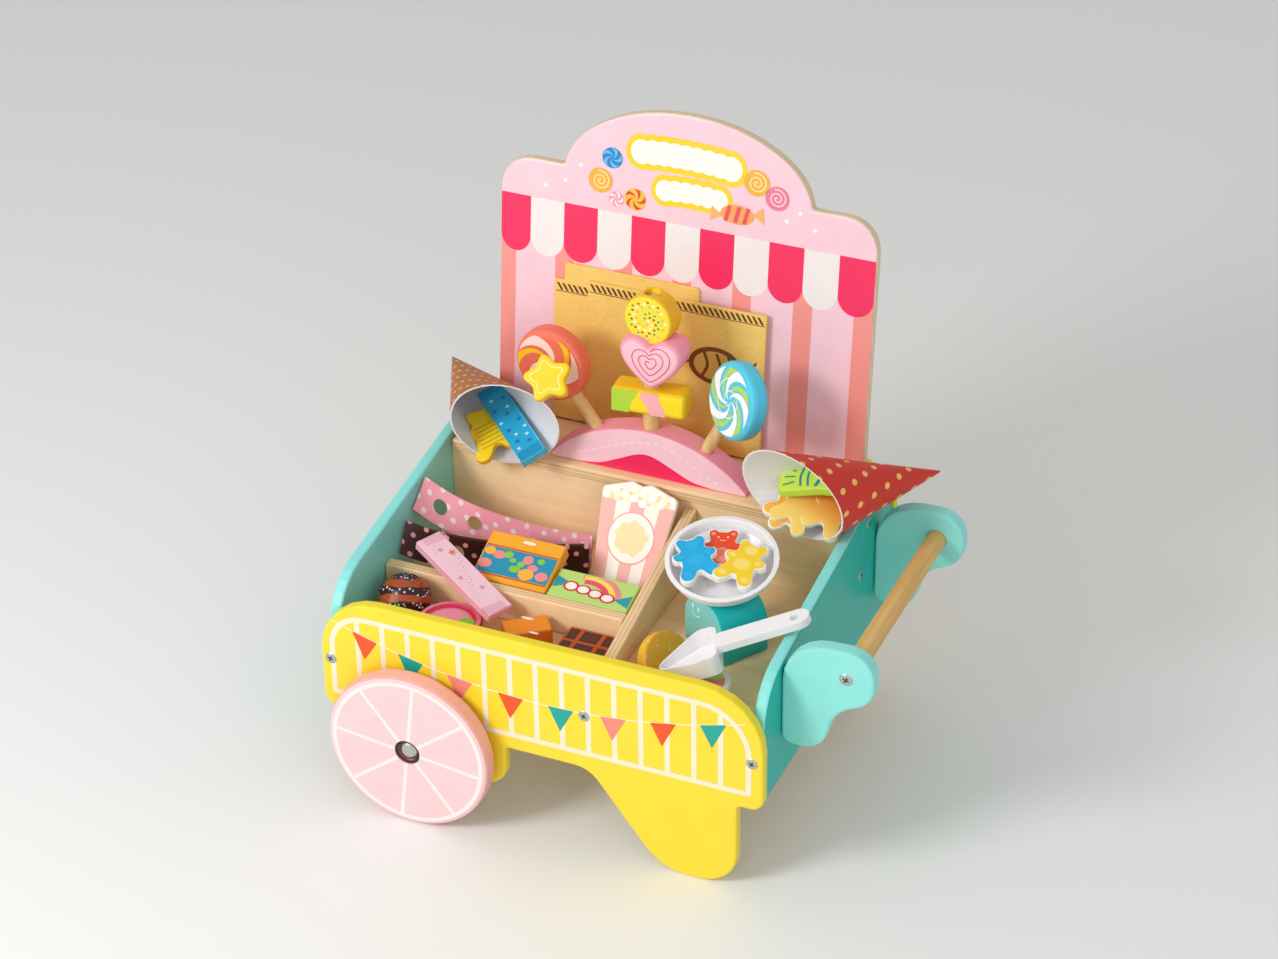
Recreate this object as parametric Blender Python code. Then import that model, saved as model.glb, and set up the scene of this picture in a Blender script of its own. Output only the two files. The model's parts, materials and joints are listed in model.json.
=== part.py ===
"""Toy candy cart for Blender 4.5: a plywood crate on two wheels and two feet, with its loose sweets.

Every length below is in millimetres. The cart is laid out with X across it (0 at its middle), Y from the
front face of the front panel to the rear, and Z up from the ground. At the end the whole cart is moved so
that the middle of its bounding box stands on the world's origin.
"""

import math

import bmesh
import bpy
from mathutils import Matrix, Vector

MM = 0.001
GAP = 0.3

# Plywood of the crate
PLY = 9.0
EDGE_ROUND = 1.8
BODY_WIDTH = 342.0
BODY_DEPTH = 275.0
CRATE_BOTTOM = 73.0
FRONT_TOP = 168.5
REAR_TOP = 205.0
TOP_CORNER = 48.0
LOWER_CORNER = 13.0
FOOT_RIGHT = 151.4
FOOT_LEFT = 93.4
FOOT_CORNER = 38.0
FOOT_SLANT_TOP = 38.4
FOOT_SLANT_ROUND = 22.0

# Tray floor, riser and shelf
END_OUTER_X = 168.2
END_FRONT_TOP = 168.0
END_REAR_TOP = 204.0
END_FRONT_ROUND = 38.0
FLOOR_TOP = 123.0
FLOOR_THICK = 6.0
RISER_FRONT = 196.5
SHELF_FRONT = 194.4
SHELF_TOP = 189.6
LONG_DIVIDER_X = 36.2
LONG_DIVIDER_FRONT_TOP = 130.9
LONG_DIVIDER_REAR_TOP = 175.0
CROSS_DIVIDER_FRONT = 79.5
CROSS_DIVIDER_TOP = 148.5

# Back board, measured up its own slope from the ground
BOARD_WIDTH = 296.0
BOARD_LEAN = math.radians(6.07)
BOARD_SHOULDER = 396.0
BOARD_SHOULDER_ROUND = 32.0
BOARD_ARCH_CENTRE = 391.0
BOARD_ARCH_HALF = 97.6
BOARD_ARCH_RISE = 59.6

# Wheels
WHEEL_RADIUS = 63.25
WHEEL_THICK = 15.0
WHEEL_X = -94.9
WASHER_THICK = 5.0
WASHER_RADIUS = 12.0
BOLT_RADIUS = 4.0
BOLT_HEAD_RADIUS = 7.5
BOLT_HEAD_THICK = 4.0
COUNTERBORE_RADIUS = 10.0
COUNTERBORE_DEPTH = 6.0
LUG_RIGHT = -26.6
LUG_LEFT = -151.8
LUG_BOTTOM = 37.0
LUG_ROUND = 20.0

# Handle
DOWEL_RADIUS = 7.5
DOWEL_X = 215.4
DOWEL_Z = 172.4
BRACKET_THICK = 12.0
FRONT_BRACKET_Y = 40.0
REAR_BRACKET_Y = 228.0
DOWEL_SEAT = 6.0

# Lollipop stand and what stands in it
STAND_X = -1.9
STAND_FRONT = 202.6
STAND_THICK = 19.0
STAND_CHORD = 161.4
STAND_HEIGHT = 37.6
STAND_HOLES = 44.0
HOLE_DEPTH = 16.0
STICK_RADIUS = 5.0
SKEWER_RADIUS = 6.25
LOLLY_RADIUS = 29.2
LOLLY_THICK = 16.0
LOLLY_REACH = 57.0
LOLLY_STICK_IN = 18.0
LEFT_LEAN = (math.radians(-39.7), math.radians(5.0), math.radians(-4.6))
RIGHT_LEAN = (math.radians(27.9), math.radians(-5.0), math.radians(-38.4))
SKEWER_LEAN = (0.0, math.radians(2.9), 0.0)
SKEWER_LENGTH = 106.0
NOUGAT_SIZE = (57.0, 22.0, 20.0)
NOUGAT_UP = 14.0
HEART_THICK = 14.0
HEART_UP = 54.0
GUMDROP_RADIUS = 19.5
GUMDROP_THICK = 18.0
GUMDROP_UP = 90.6

# Paper cones: mouth centre, azimuth and elevation of the way the mouth looks, mouth radius, tip
PAPER = 1.3
LEFT_MOUTH = (-102.7, 172.5, 228.1)
LEFT_MOUTH_WAY = (13.5, -14.2)
LEFT_MOUTH_RADIUS = 41.2
LEFT_TIP = (-197.4, 277.0, 208.9)
RIGHT_MOUTH = (128.5, 161.5, 228.7)
RIGHT_MOUTH_WAY = (-14.0, -17.0)
RIGHT_MOUTH_RADIUS = 43.0
RIGHT_TIP = (207.0, 261.5, 209.7)
CONE_STEPS = 36

# Scale
SCALE_X = 95.0
SCALE_Y = 116.0
SCALE_SPIN = math.radians(-33.0)
SCALE_WIDTH = 40.0
SCALE_DEPTH = 40.0
SCALE_HEIGHT = 57.0
BOWL_CENTRE = (90.0, 123.8, 188.0)
BOWL_AXIS = (0.05, -0.252, 0.966)
BOWL_RADIUS = 41.0
BOWL_DEPTH = 13.5
BOWL_WALL = 2.0
BEAR_THICK = 7.0

CART = bpy.data.objects.new("cart", None)


def clear_scene():
    for obj in list(bpy.data.objects):
        if obj is not CART:
            bpy.data.objects.remove(obj)
    bpy.context.scene.collection.objects.link(CART)


def finish(name, colour, roughness, metallic=0.0):
    """A named plain material from an sRGB colour."""
    material = bpy.data.materials.new(name)
    material.use_nodes = True
    shader = material.node_tree.nodes["Principled BSDF"]
    channels = [int(colour[i : i + 2], 16) / 255 for i in (0, 2, 4)]
    linear = [c / 12.92 if c <= 0.04045 else ((c + 0.055) / 1.055) ** 2.4 for c in channels]
    shader.inputs["Base Color"].default_value = (*linear, 1)
    shader.inputs["Roughness"].default_value = roughness
    shader.inputs["Metallic"].default_value = metallic
    material.diffuse_color = (*linear, 1)
    return material


def at(x, y, z):
    return Matrix.Translation(Vector((x, y, z)) * MM)


def columns(x_way, y_way, z_way, origin):
    """A placement from its three local directions and its origin."""
    turned = Matrix((x_way, y_way, z_way)).transposed().to_4x4()
    return at(*origin) @ turned


def facing_front(y_rear):
    """Local X is the cart's X, local Y is up, and local Z comes forward from the plane Y = y_rear."""
    return columns((1, 0, 0), (0, 0, 1), (0, -1, 0), (0, y_rear, 0))


def facing_right(x_left):
    """Local X runs to the rear, local Y is up, and local Z is the cart's X from the plane X = x_left."""
    return columns((0, 1, 0), (0, 0, 1), (1, 0, 0), (x_left, 0, 0))


def along(origin, way, front=(0, -1, 0), spin=0.0):
    """Local Z runs along way, and local -Y looks as near to front as it can, turned by spin about way."""
    up = Vector(way).normalized()
    face = (Vector(front) - up * up.dot(Vector(front))).normalized()
    face = face * math.cos(spin) + up.cross(face) * math.sin(spin)
    return columns((-face).cross(up), -face, up, origin)


def lean_way(lean):
    """The direction of a stick that leans to the side and to the rear by the two angles."""
    side, back, _ = lean
    return Vector((math.sin(side) * math.cos(back), math.sin(back), math.cos(side) * math.cos(back)))


def add(name, shape, material, place, bevel=0.0, segments=2, parent=CART):
    """Makes the object from a bmesh in millimetres, with an optional bevel on its sharp edges."""
    bmesh.ops.remove_doubles(shape, verts=shape.verts, dist=0.0005)
    bmesh.ops.recalc_face_normals(shape, faces=shape.faces)
    if shape.calc_volume(signed=True) < 0:
        bmesh.ops.reverse_faces(shape, faces=shape.faces)
    bmesh.ops.scale(shape, vec=(MM, MM, MM), verts=shape.verts)
    mesh = bpy.data.meshes.new(name)
    shape.to_mesh(mesh)
    shape.free()
    mesh.shade_smooth()
    mesh.set_sharp_from_angle(angle=math.radians(35))
    mesh.materials.append(material)
    obj = bpy.data.objects.new(name, mesh)
    bpy.context.scene.collection.objects.link(obj)
    obj.parent = parent
    obj.matrix_local = place
    if bevel:
        soften = obj.modifiers.new("rounded edges", "BEVEL")
        soften.width = bevel * MM
        soften.segments = segments
        soften.limit_method = "ANGLE"
        soften.angle_limit = math.radians(40)
        soften.use_clamp_overlap = False
    return obj


def combine(obj, tool, operation="DIFFERENCE"):
    """Cuts the tool out of the object, or joins it on, and hides the tool."""
    change = obj.modifiers.new(operation.lower(), "BOOLEAN")
    change.operation = operation
    change.solver = "EXACT"
    change.object = tool
    tool.hide_render = True
    tool.display_type = "WIRE"


def rounded(corners, step=15.0):
    """The closed outline of (x, y, radius) corners, each corner turned into an arc."""
    points = []
    for i, (x, y, radius) in enumerate(corners):
        here = Vector((x, y))
        back = Vector(corners[i - 1][:2]) - here
        onward = Vector(corners[(i + 1) % len(corners)][:2]) - here
        if radius <= 0:
            points.append((x, y))
            continue
        room = 0.49 * min(back.length, onward.length)
        back.normalize()
        onward.normalize()
        half = back.angle(onward) / 2
        reach = min(radius / math.tan(half), room)
        radius = reach * math.tan(half)
        centre = here + (back + onward).normalized() * radius / math.sin(half)
        first = here + back * reach - centre
        last = here + onward * reach - centre
        turn = math.atan2(first.x * last.y - first.y * last.x, first.dot(last))
        count = max(1, math.ceil(abs(math.degrees(turn)) / step))
        for k in range(count + 1):
            angle = turn * k / count
            cos, sin = math.cos(angle), math.sin(angle)
            points.append((centre.x + first.x * cos - first.y * sin, centre.y + first.x * sin + first.y * cos))
    return points


def mirrored(half):
    """A whole outline from the corners of its right half, listed from the bottom up."""
    return half + [(-x, y, radius) for x, y, radius in reversed(half) if x > 0]


def scaled(corners, factor):
    return [(x * factor, y * factor, radius * factor) for x, y, radius in corners]


def sheet(points, thick, base=0.0):
    """A solid from an outline, between the local heights base and base + thick."""
    shape = bmesh.new()
    bottom = shape.faces.new([shape.verts.new((x, y, base)) for x, y in points])
    made = bmesh.ops.extrude_face_region(shape, geom=[bottom])["geom"]
    moved = [item for item in made if isinstance(item, bmesh.types.BMVert)]
    bmesh.ops.translate(shape, vec=(0, 0, thick), verts=moved)
    return shape


def block(x, y, z):
    """A box of the given size, resting with the middle of its base on the local origin."""
    return sheet([(-x / 2, -y / 2), (x / 2, -y / 2), (x / 2, y / 2), (-x / 2, y / 2)], z)


def turned(profile, steps=32, ring=False):
    """A solid of revolution about local Z from (radius, height) points. A ring's profile closes on itself."""
    shape = bmesh.new()
    points = [shape.verts.new((radius, 0, height)) for radius, height in profile]
    pairs = list(zip(points, points[1:]))
    if ring:
        pairs.append((points[-1], points[0]))
    edges = [shape.edges.new(pair) for pair in pairs]
    bmesh.ops.spin(shape, geom=points + edges, cent=(0, 0, 0), axis=(0, 0, 1), angle=math.tau, steps=steps)
    bmesh.ops.remove_doubles(shape, verts=shape.verts, dist=0.001)
    return shape


def rod(radius, start, end, chamfer=0.0, steps=24):
    profile = [(0, start), (radius - chamfer, start), (radius, start + chamfer)]
    profile += [(radius, end - chamfer), (radius - chamfer, end), (0, end)]
    return turned(profile if chamfer else [profile[0], profile[2], profile[3], profile[5]], steps)


def disc(radius, thick, edge, steps=36, arc=3):
    """A puck about local Z, centred on the origin, with a rounded rim."""
    half = thick / 2
    profile = [(0, -half)]
    for side in (-1, 1):
        for k in range(arc + 1):
            angle = math.pi / 2 * (k / arc if side < 0 else 1 - k / arc)
            profile.append((radius - edge + edge * math.sin(angle), side * (half - edge + edge * math.cos(angle))))
    return turned(profile + [(0, half)], steps)


def ribbon(stations, thick):
    """A bent strip from (upper edge point, lower edge point) stations."""
    shape = bmesh.new()
    rows = []
    for i, (upper, lower) in enumerate(stations):
        before = stations[max(i - 1, 0)]
        after = stations[min(i + 1, len(stations) - 1)]
        run = (after[0] + after[1]) - (before[0] + before[1])
        across = run.cross(upper - lower).normalized() * thick / 2
        rows.append([shape.verts.new(p) for p in (upper - across, upper + across, lower + across, lower - across)])
    for first, second in zip(rows, rows[1:]):
        for k in range(4):
            shape.faces.new((first[k], first[(k + 1) % 4], second[(k + 1) % 4], second[k]))
    shape.faces.new(rows[0])
    shape.faces.new(rows[-1])
    return shape


def bent(start, middle, end, share):
    """A point on the curve that starts at start, passes middle halfway and ends at end."""
    control = 2 * Vector(middle) - (Vector(start) + Vector(end)) / 2
    return (1 - share) ** 2 * Vector(start) + 2 * share * (1 - share) * control + share**2 * Vector(end)


class Cone:
    """A sheet of paper rolled to a hollow cone, from its mouth circle to its tip."""

    def __init__(self, mouth, way, radius, tip):
        azimuth, elevation = (math.radians(angle) for angle in way)
        self.mouth = Vector(mouth)
        self.tip = Vector(tip)
        self.radius = radius
        self.out = Vector(
            (math.sin(azimuth) * math.cos(elevation), -math.cos(azimuth) * math.cos(elevation), math.sin(elevation))
        )
        self.right = Vector((math.cos(azimuth), math.sin(azimuth), 0))
        self.up = self.right.cross(-self.out)

    def rim(self, angle, radius):
        return self.mouth + (self.right * math.sin(angle) - self.up * math.cos(angle)) * radius

    def solid(self):
        slope = (self.tip - self.mouth).normalized()
        half_angle = math.atan2(self.radius, (self.tip - self.mouth).length)
        inner_tip = self.tip - slope * PAPER / math.sin(half_angle)
        inner_radius = self.radius - PAPER / math.cos(half_angle)
        shape = bmesh.new()
        angles = [math.tau * k / CONE_STEPS for k in range(CONE_STEPS)]
        outer = [shape.verts.new(self.rim(a, self.radius) - self.mouth) for a in angles]
        inner = [shape.verts.new(self.rim(a, inner_radius) - self.mouth) for a in angles]
        outer_end = shape.verts.new(self.tip - self.mouth)
        inner_end = shape.verts.new(inner_tip - self.mouth)
        for k in range(CONE_STEPS):
            after = (k + 1) % CONE_STEPS
            shape.faces.new((outer[k], outer[after], outer_end))
            shape.faces.new((inner[after], inner[k], inner_end))
            shape.faces.new((outer[after], outer[k], inner[k], inner[after]))
        return shape

    def room(self, point):
        """How far inside the paper's outer face a point is, measured in the plane parallel to the mouth."""
        depth = (self.mouth - point).dot(self.out) / (self.mouth - self.tip).dot(self.out)
        middle = self.mouth + (self.tip - self.mouth) * depth
        return self.radius * (1 - depth) - (point - middle).length

    def lying(self, angle, widths, length, outside, lift=0.0):
        """Where a bar lies on the inner wall: local Z points out of the mouth, local Y into the cone's middle.

        The angle is counted from the lowest line of the wall, widths are those of the bar's outer and inner
        end, and outside is how far it stands out.
        """
        foot = self.rim(angle, self.radius)
        slope = (self.tip - foot).normalized()
        middle = (self.mouth - foot) - slope * slope.dot(self.mouth - foot)
        middle.normalize()
        aside = middle.cross(-slope)
        ends = []
        for depth, width in zip((0.0, length - outside), widths):
            base = foot + slope * depth
            rises = [step / 20 for step in range(800)]
            edges = [[base + middle * rise + aside * width / 2 * k for k in (-1, 1)] for rise in rises]
            clear = [rise for rise, edge in zip(rises, edges) if min(map(self.room, edge)) > 1.9 * PAPER + GAP]
            ends.append(base + middle * (clear[0] + lift))
        near, far = ends
        back = (far - near).normalized()
        inward = (middle - back * back.dot(middle)).normalized()
        return columns(inward.cross(-back), inward, -back, near - back * outside)


def panel_outline(top):
    """The outline that the front and the rear panel share, up to the height of their top edge."""
    half = BODY_WIDTH / 2
    return rounded(
        [
            (-half, top, TOP_CORNER),
            (-half, CRATE_BOTTOM, LOWER_CORNER),
            (LUG_LEFT, CRATE_BOTTOM, 3),
            (LUG_LEFT, LUG_BOTTOM, LUG_ROUND),
            (LUG_RIGHT, LUG_BOTTOM, LUG_ROUND),
            (LUG_RIGHT, CRATE_BOTTOM, 3),
            (FOOT_SLANT_TOP, CRATE_BOTTOM, FOOT_SLANT_ROUND),
            (FOOT_LEFT, 0, FOOT_CORNER),
            (FOOT_RIGHT, 0, FOOT_CORNER),
            (FOOT_RIGHT, CRATE_BOTTOM, 3),
            (half, CRATE_BOTTOM, LOWER_CORNER),
            (half, top, TOP_CORNER),
        ]
    )


def build_crate():
    yellow = finish("yellow painted plywood", "FFE648", 0.45)
    lime = finish("lime painted plywood", "C5D000", 0.45)
    teal = finish("teal painted plywood", "2FB3A6", 0.45)
    wood = finish("bare plywood", "EAC79A", 0.6)
    axle = at(WHEEL_X, 0, WHEEL_RADIUS) @ columns((1, 0, 0), (0, 0, 1), (0, -1, 0), (0, 0, 0))
    for name, top, rear, paint in (("front_panel", FRONT_TOP, PLY, yellow), ("rear_panel", REAR_TOP, BODY_DEPTH, lime)):
        panel = add(name, sheet(panel_outline(top), PLY), paint, facing_front(rear), EDGE_ROUND)
        hole = add(name + "_axle_hole", rod(BOLT_RADIUS + GAP, -20, 20), paint, at(0, rear - PLY / 2, 0) @ axle)
        combine(panel, hole)

    front = PLY + GAP
    rear = BODY_DEPTH - PLY - GAP
    profile = rounded(
        [
            (front, CRATE_BOTTOM + 1, 3),
            (rear, CRATE_BOTTOM + 1, 3),
            (rear, END_REAR_TOP, 20),
            (front, END_FRONT_TOP, END_FRONT_ROUND),
        ]
    )
    inner = END_OUTER_X - PLY
    add("left_end_panel", sheet(profile, PLY), teal, facing_right(-END_OUTER_X), EDGE_ROUND)
    add("right_end_panel", sheet(profile, PLY), teal, facing_right(inner), EDGE_ROUND)

    middle = (front + rear) / 2
    floor = block(2 * (inner - GAP), rear - front, FLOOR_THICK)
    add("floor_board", floor, wood, at(0, middle, FLOOR_TOP - FLOOR_THICK))

    riser_top = SHELF_TOP - PLY - GAP
    riser = block(2 * (inner - GAP), PLY, riser_top - FLOOR_TOP - GAP)
    add("riser_board", riser, wood, at(0, RISER_FRONT + PLY / 2, FLOOR_TOP + GAP))

    board_front = board_front_at(SHELF_TOP - PLY) - GAP
    shelf = block(2 * (inner - GAP), board_front - SHELF_FRONT, PLY)
    add("display_shelf", shelf, wood, at(0, (board_front + SHELF_FRONT) / 2, SHELF_TOP - PLY), 1.5)

    long_divider = rounded(
        [
            (front, FLOOR_TOP + GAP, 0),
            (RISER_FRONT - GAP, FLOOR_TOP + GAP, 0),
            (RISER_FRONT - GAP, LONG_DIVIDER_REAR_TOP, 0),
            (front, LONG_DIVIDER_FRONT_TOP, 0),
        ]
    )
    add("long_divider", sheet(long_divider, PLY), wood, facing_right(LONG_DIVIDER_X - PLY / 2), 1.5)
    left, right = GAP - inner, LONG_DIVIDER_X - PLY / 2 - GAP
    cross = block(right - left, PLY, CROSS_DIVIDER_TOP - FLOOR_TOP - GAP)
    place = at((left + right) / 2, CROSS_DIVIDER_FRONT + PLY / 2, FLOOR_TOP + GAP)
    add("cross_divider", cross, wood, place, 1.5)


def board_front_at(height):
    """Y of the back board's front face, whose rear face clears the rear panel's top front edge."""
    touch = REAR_TOP - EDGE_ROUND * (1 - math.sin(BOARD_LEAN))
    rear_face = BODY_DEPTH - PLY - GAP + EDGE_ROUND * (1 - math.cos(BOARD_LEAN))
    return rear_face - PLY / math.cos(BOARD_LEAN) + (height - touch) * math.tan(BOARD_LEAN)


def board_place():
    """Local X across, local Y up the board's slope from the ground, and local Z out of its front face."""
    up = (0, math.sin(BOARD_LEAN), math.cos(BOARD_LEAN))
    out = (0, -math.cos(BOARD_LEAN), math.sin(BOARD_LEAN))
    return columns((1, 0, 0), up, out, (0, board_front_at(0), 0))


def build_board():
    pink = finish("pink painted plywood", "FBD3DB", 0.45)
    half = BOARD_WIDTH / 2
    foot = (FLOOR_TOP + GAP + PLY * math.sin(BOARD_LEAN)) / math.cos(BOARD_LEAN)
    start = math.asin((BOARD_SHOULDER - BOARD_ARCH_CENTRE) / BOARD_ARCH_RISE)
    corners = [(-half, foot, 2), (half, foot, 2), (half, BOARD_SHOULDER, BOARD_SHOULDER_ROUND)]
    for k in range(25):
        angle = start + (math.pi - 2 * start) * k / 24
        corners.append((BOARD_ARCH_HALF * math.cos(angle), BOARD_ARCH_CENTRE + BOARD_ARCH_RISE * math.sin(angle), 0))
    outline = rounded(corners + [(-half, BOARD_SHOULDER, BOARD_SHOULDER_ROUND)])
    add("back_board", sheet(outline, PLY, -PLY), pink, board_place(), EDGE_ROUND)


def build_wheels():
    pink = finish("pink painted wood", "FAD7D8", 0.45)
    zinc = finish("zinc plated steel", "B9C4BC", 0.35, 1.0)
    grey = finish("grey nylon", "D8DCD8", 0.5)
    inset = 2 * GAP
    for side, name, face in ((-1, "front", 0.0), (1, "rear", BODY_DEPTH)):
        axle = columns((-side, 0, 0), (0, 0, 1), (0, side, 0), (WHEEL_X, face, WHEEL_RADIUS))
        start = WASHER_THICK + GAP
        end = start + WHEEL_THICK
        washer = [(BOLT_RADIUS + GAP, GAP), (WASHER_RADIUS, GAP), (WASHER_RADIUS, start - GAP)]
        washer.append((BOLT_RADIUS + GAP, start - GAP))
        add(name + "_wheel_washer", turned(washer, 28, ring=True), grey, axle)
        bore = BOLT_RADIUS + GAP
        wheel = [
            (bore, start),
            (WHEEL_RADIUS - 3, start),
            (WHEEL_RADIUS - 0.9, start + 0.9),
            (WHEEL_RADIUS, start + 3),
            (WHEEL_RADIUS, end - 3),
            (WHEEL_RADIUS - 0.9, end - 0.9),
            (WHEEL_RADIUS - 3, end),
            (COUNTERBORE_RADIUS, end),
            (COUNTERBORE_RADIUS, end - COUNTERBORE_DEPTH),
            (bore, end - COUNTERBORE_DEPTH),
        ]
        add(name + "_wheel", turned(wheel, 48, ring=True), pink, axle)
        seat = end - COUNTERBORE_DEPTH + GAP
        bolt = [
            (0, inset - PLY),
            (BOLT_RADIUS, inset - PLY),
            (BOLT_RADIUS, seat),
            (BOLT_HEAD_RADIUS, seat),
            (BOLT_HEAD_RADIUS, seat + BOLT_HEAD_THICK - 1.5),
            (BOLT_HEAD_RADIUS - 2.5, seat + BOLT_HEAD_THICK),
            (0, seat + BOLT_HEAD_THICK),
        ]
        add(name + "_wheel_bolt", turned(bolt, 28), zinc, axle)


def build_handle():
    aqua = finish("aqua painted wood", "A0EEE6", 0.45)
    beech = finish("beech dowel", "D9B36B", 0.55)
    inside = END_OUTER_X + GAP
    outline = rounded(
        [
            (inside, 106.5, 9),
            (198, 106.5, 20),
            (207, 143, 28),
            (236, 155, 20),
            (235, 195, 22),
            (inside, 193, 38),
        ]
    )
    seat_front = FRONT_BRACKET_Y + BRACKET_THICK - DOWEL_SEAT
    seat_rear = REAR_BRACKET_Y + DOWEL_SEAT
    for name, rear in (("front", FRONT_BRACKET_Y + BRACKET_THICK), ("rear", REAR_BRACKET_Y + BRACKET_THICK)):
        bracket = add(name + "_handle_bracket", sheet(outline, BRACKET_THICK), aqua, facing_front(rear), EDGE_ROUND)
        socket = rod(DOWEL_RADIUS + GAP, seat_front - GAP, seat_rear + GAP)
        hole = add(name + "_dowel_socket", socket, aqua, along((DOWEL_X, 0, DOWEL_Z), (0, 1, 0), (0, 0, 1)))
        combine(bracket, hole)
    dowel = rod(DOWEL_RADIUS, seat_front, seat_rear, 0.8, 28)
    add("handle_dowel", dowel, beech, along((DOWEL_X, 0, DOWEL_Z), (0, 1, 0), (0, 0, 1)))


def stand_mouth(offset):
    """The middle of a hole's mouth on the stand's arched top."""
    radius = (STAND_HEIGHT**2 + (STAND_CHORD / 2) ** 2) / (2 * STAND_HEIGHT)
    height = STAND_HEIGHT - radius + math.sqrt(radius**2 - offset**2)
    return Vector((STAND_X + offset, STAND_FRONT + STAND_THICK / 2, SHELF_TOP + GAP + height))


def build_stand():
    pink = finish("rose painted wood", "FFB9C8", 0.45)
    radius = (STAND_HEIGHT**2 + (STAND_CHORD / 2) ** 2) / (2 * STAND_HEIGHT)
    limit = math.asin(STAND_CHORD / 2 / radius) * 0.965
    low = STAND_HEIGHT - radius
    points = []
    for k in range(25):
        angle = limit * (1 - 2 * k / 24)
        points.append((STAND_X + radius * math.sin(angle), SHELF_TOP + GAP + low + radius * math.cos(angle)))
    points.append((points[-1][0], SHELF_TOP + GAP))
    points.append((points[0][0], SHELF_TOP + GAP))
    stand = add("lolly_stand", sheet(points, STAND_THICK), pink, facing_front(STAND_FRONT + STAND_THICK), 0.8)
    holes = (
        ("left", -STAND_HOLES, LEFT_LEAN, STICK_RADIUS),
        ("middle", 0.0, SKEWER_LEAN, SKEWER_RADIUS),
        ("right", STAND_HOLES, RIGHT_LEAN, STICK_RADIUS),
    )
    for name, offset, lean, size in holes:
        place = along(stand_mouth(offset), lean_way(lean))
        combine(stand, add(name + "_stand_hole", rod(size + GAP, -HOLE_DEPTH - GAP, 25), pink, place))


def build_lollies():
    beech = finish("beech stick", "F0C98F", 0.55)
    coral = finish("coral painted wood", "F07850", 0.4)
    sky = finish("sky blue painted wood", "56C8E4", 0.4)
    to_face = Matrix.Rotation(math.pi / 2, 4, "X")
    for name, offset, lean, paint in (("left", -STAND_HOLES, LEFT_LEAN, coral), ("right", STAND_HOLES, RIGHT_LEAN, sky)):
        place = along(stand_mouth(offset), lean_way(lean), spin=lean[2])
        stick_end = LOLLY_REACH - LOLLY_RADIUS + LOLLY_STICK_IN
        add(name + "_lolly_stick", rod(STICK_RADIUS, -HOLE_DEPTH, stick_end, 0.8), beech, place)
        head = add(name + "_lolly_disc", disc(LOLLY_RADIUS, LOLLY_THICK, 5), paint, place @ at(0, 0, LOLLY_REACH) @ to_face)
        seat = rod(STICK_RADIUS + GAP, 10, stick_end + GAP)
        combine(head, add(name + "_lolly_seat", seat, paint, place))


def build_skewer():
    beech = bpy.data.materials["beech stick"]
    nougat = finish("yellow painted wood", "FFE03A", 0.4)
    rose = finish("pink heart paint", "FFC4D0", 0.4)
    amber = finish("amber painted wood", "F5C800", 0.4)
    place = along(stand_mouth(0.0), lean_way(SKEWER_LEAN))
    add("skewer_stick", rod(SKEWER_RADIUS, -HOLE_DEPTH, SKEWER_LENGTH, 1.0), beech, place)
    bore_radius = SKEWER_RADIUS + GAP
    turn = Matrix.Rotation(math.radians(5.5), 4, "Z")
    base = place @ at(0, 0, NOUGAT_UP) @ turn
    piece = add("nougat_block", block(*NOUGAT_SIZE), nougat, base, 4.0, 3)
    combine(piece, add("nougat_bore", rod(bore_radius, -20, 60), nougat, place))

    upright = Matrix.Rotation(math.pi / 2, 4, "X")
    turn = Matrix.Rotation(math.radians(-17), 4, "Z")
    heart = rounded(mirrored([(0, -19.5, 9), (22, 1, 7), (22.5, 17, 11), (7, 18.5, 9), (0, 12, 5)]), 22)
    base = place @ at(0, 0, HEART_UP) @ turn @ upright @ at(0, 0, -HEART_THICK / 2)
    piece = add("heart_roll", sheet(heart, HEART_THICK), rose, base, 1.5)
    combine(piece, add("heart_bore", rod(bore_radius, -20, 120), rose, place))

    turn = Matrix.Rotation(math.radians(-5), 4, "Z")
    base = place @ at(0, 0, GUMDROP_UP) @ turn @ upright
    piece = add("gumdrop", disc(GUMDROP_RADIUS, GUMDROP_THICK, 2.5), amber, base)
    combine(piece, add("gumdrop_bore", rod(bore_radius, -20, 140), amber, place))


BEAR = mirrored(
    [
        (0, -12.5, 1.5),
        (3.5, -16.5, 3),
        (10.5, -17, 4),
        (11.5, -9, 3),
        (9.5, -4, 2),
        (15.5, 0, 3.5),
        (15, 6.5, 3),
        (9, 5, 2),
        (9.5, 10, 2),
        (12, 15, 3.5),
        (6.5, 17.5, 3),
        (4, 15.5, 1.5),
    ]
)


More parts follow.
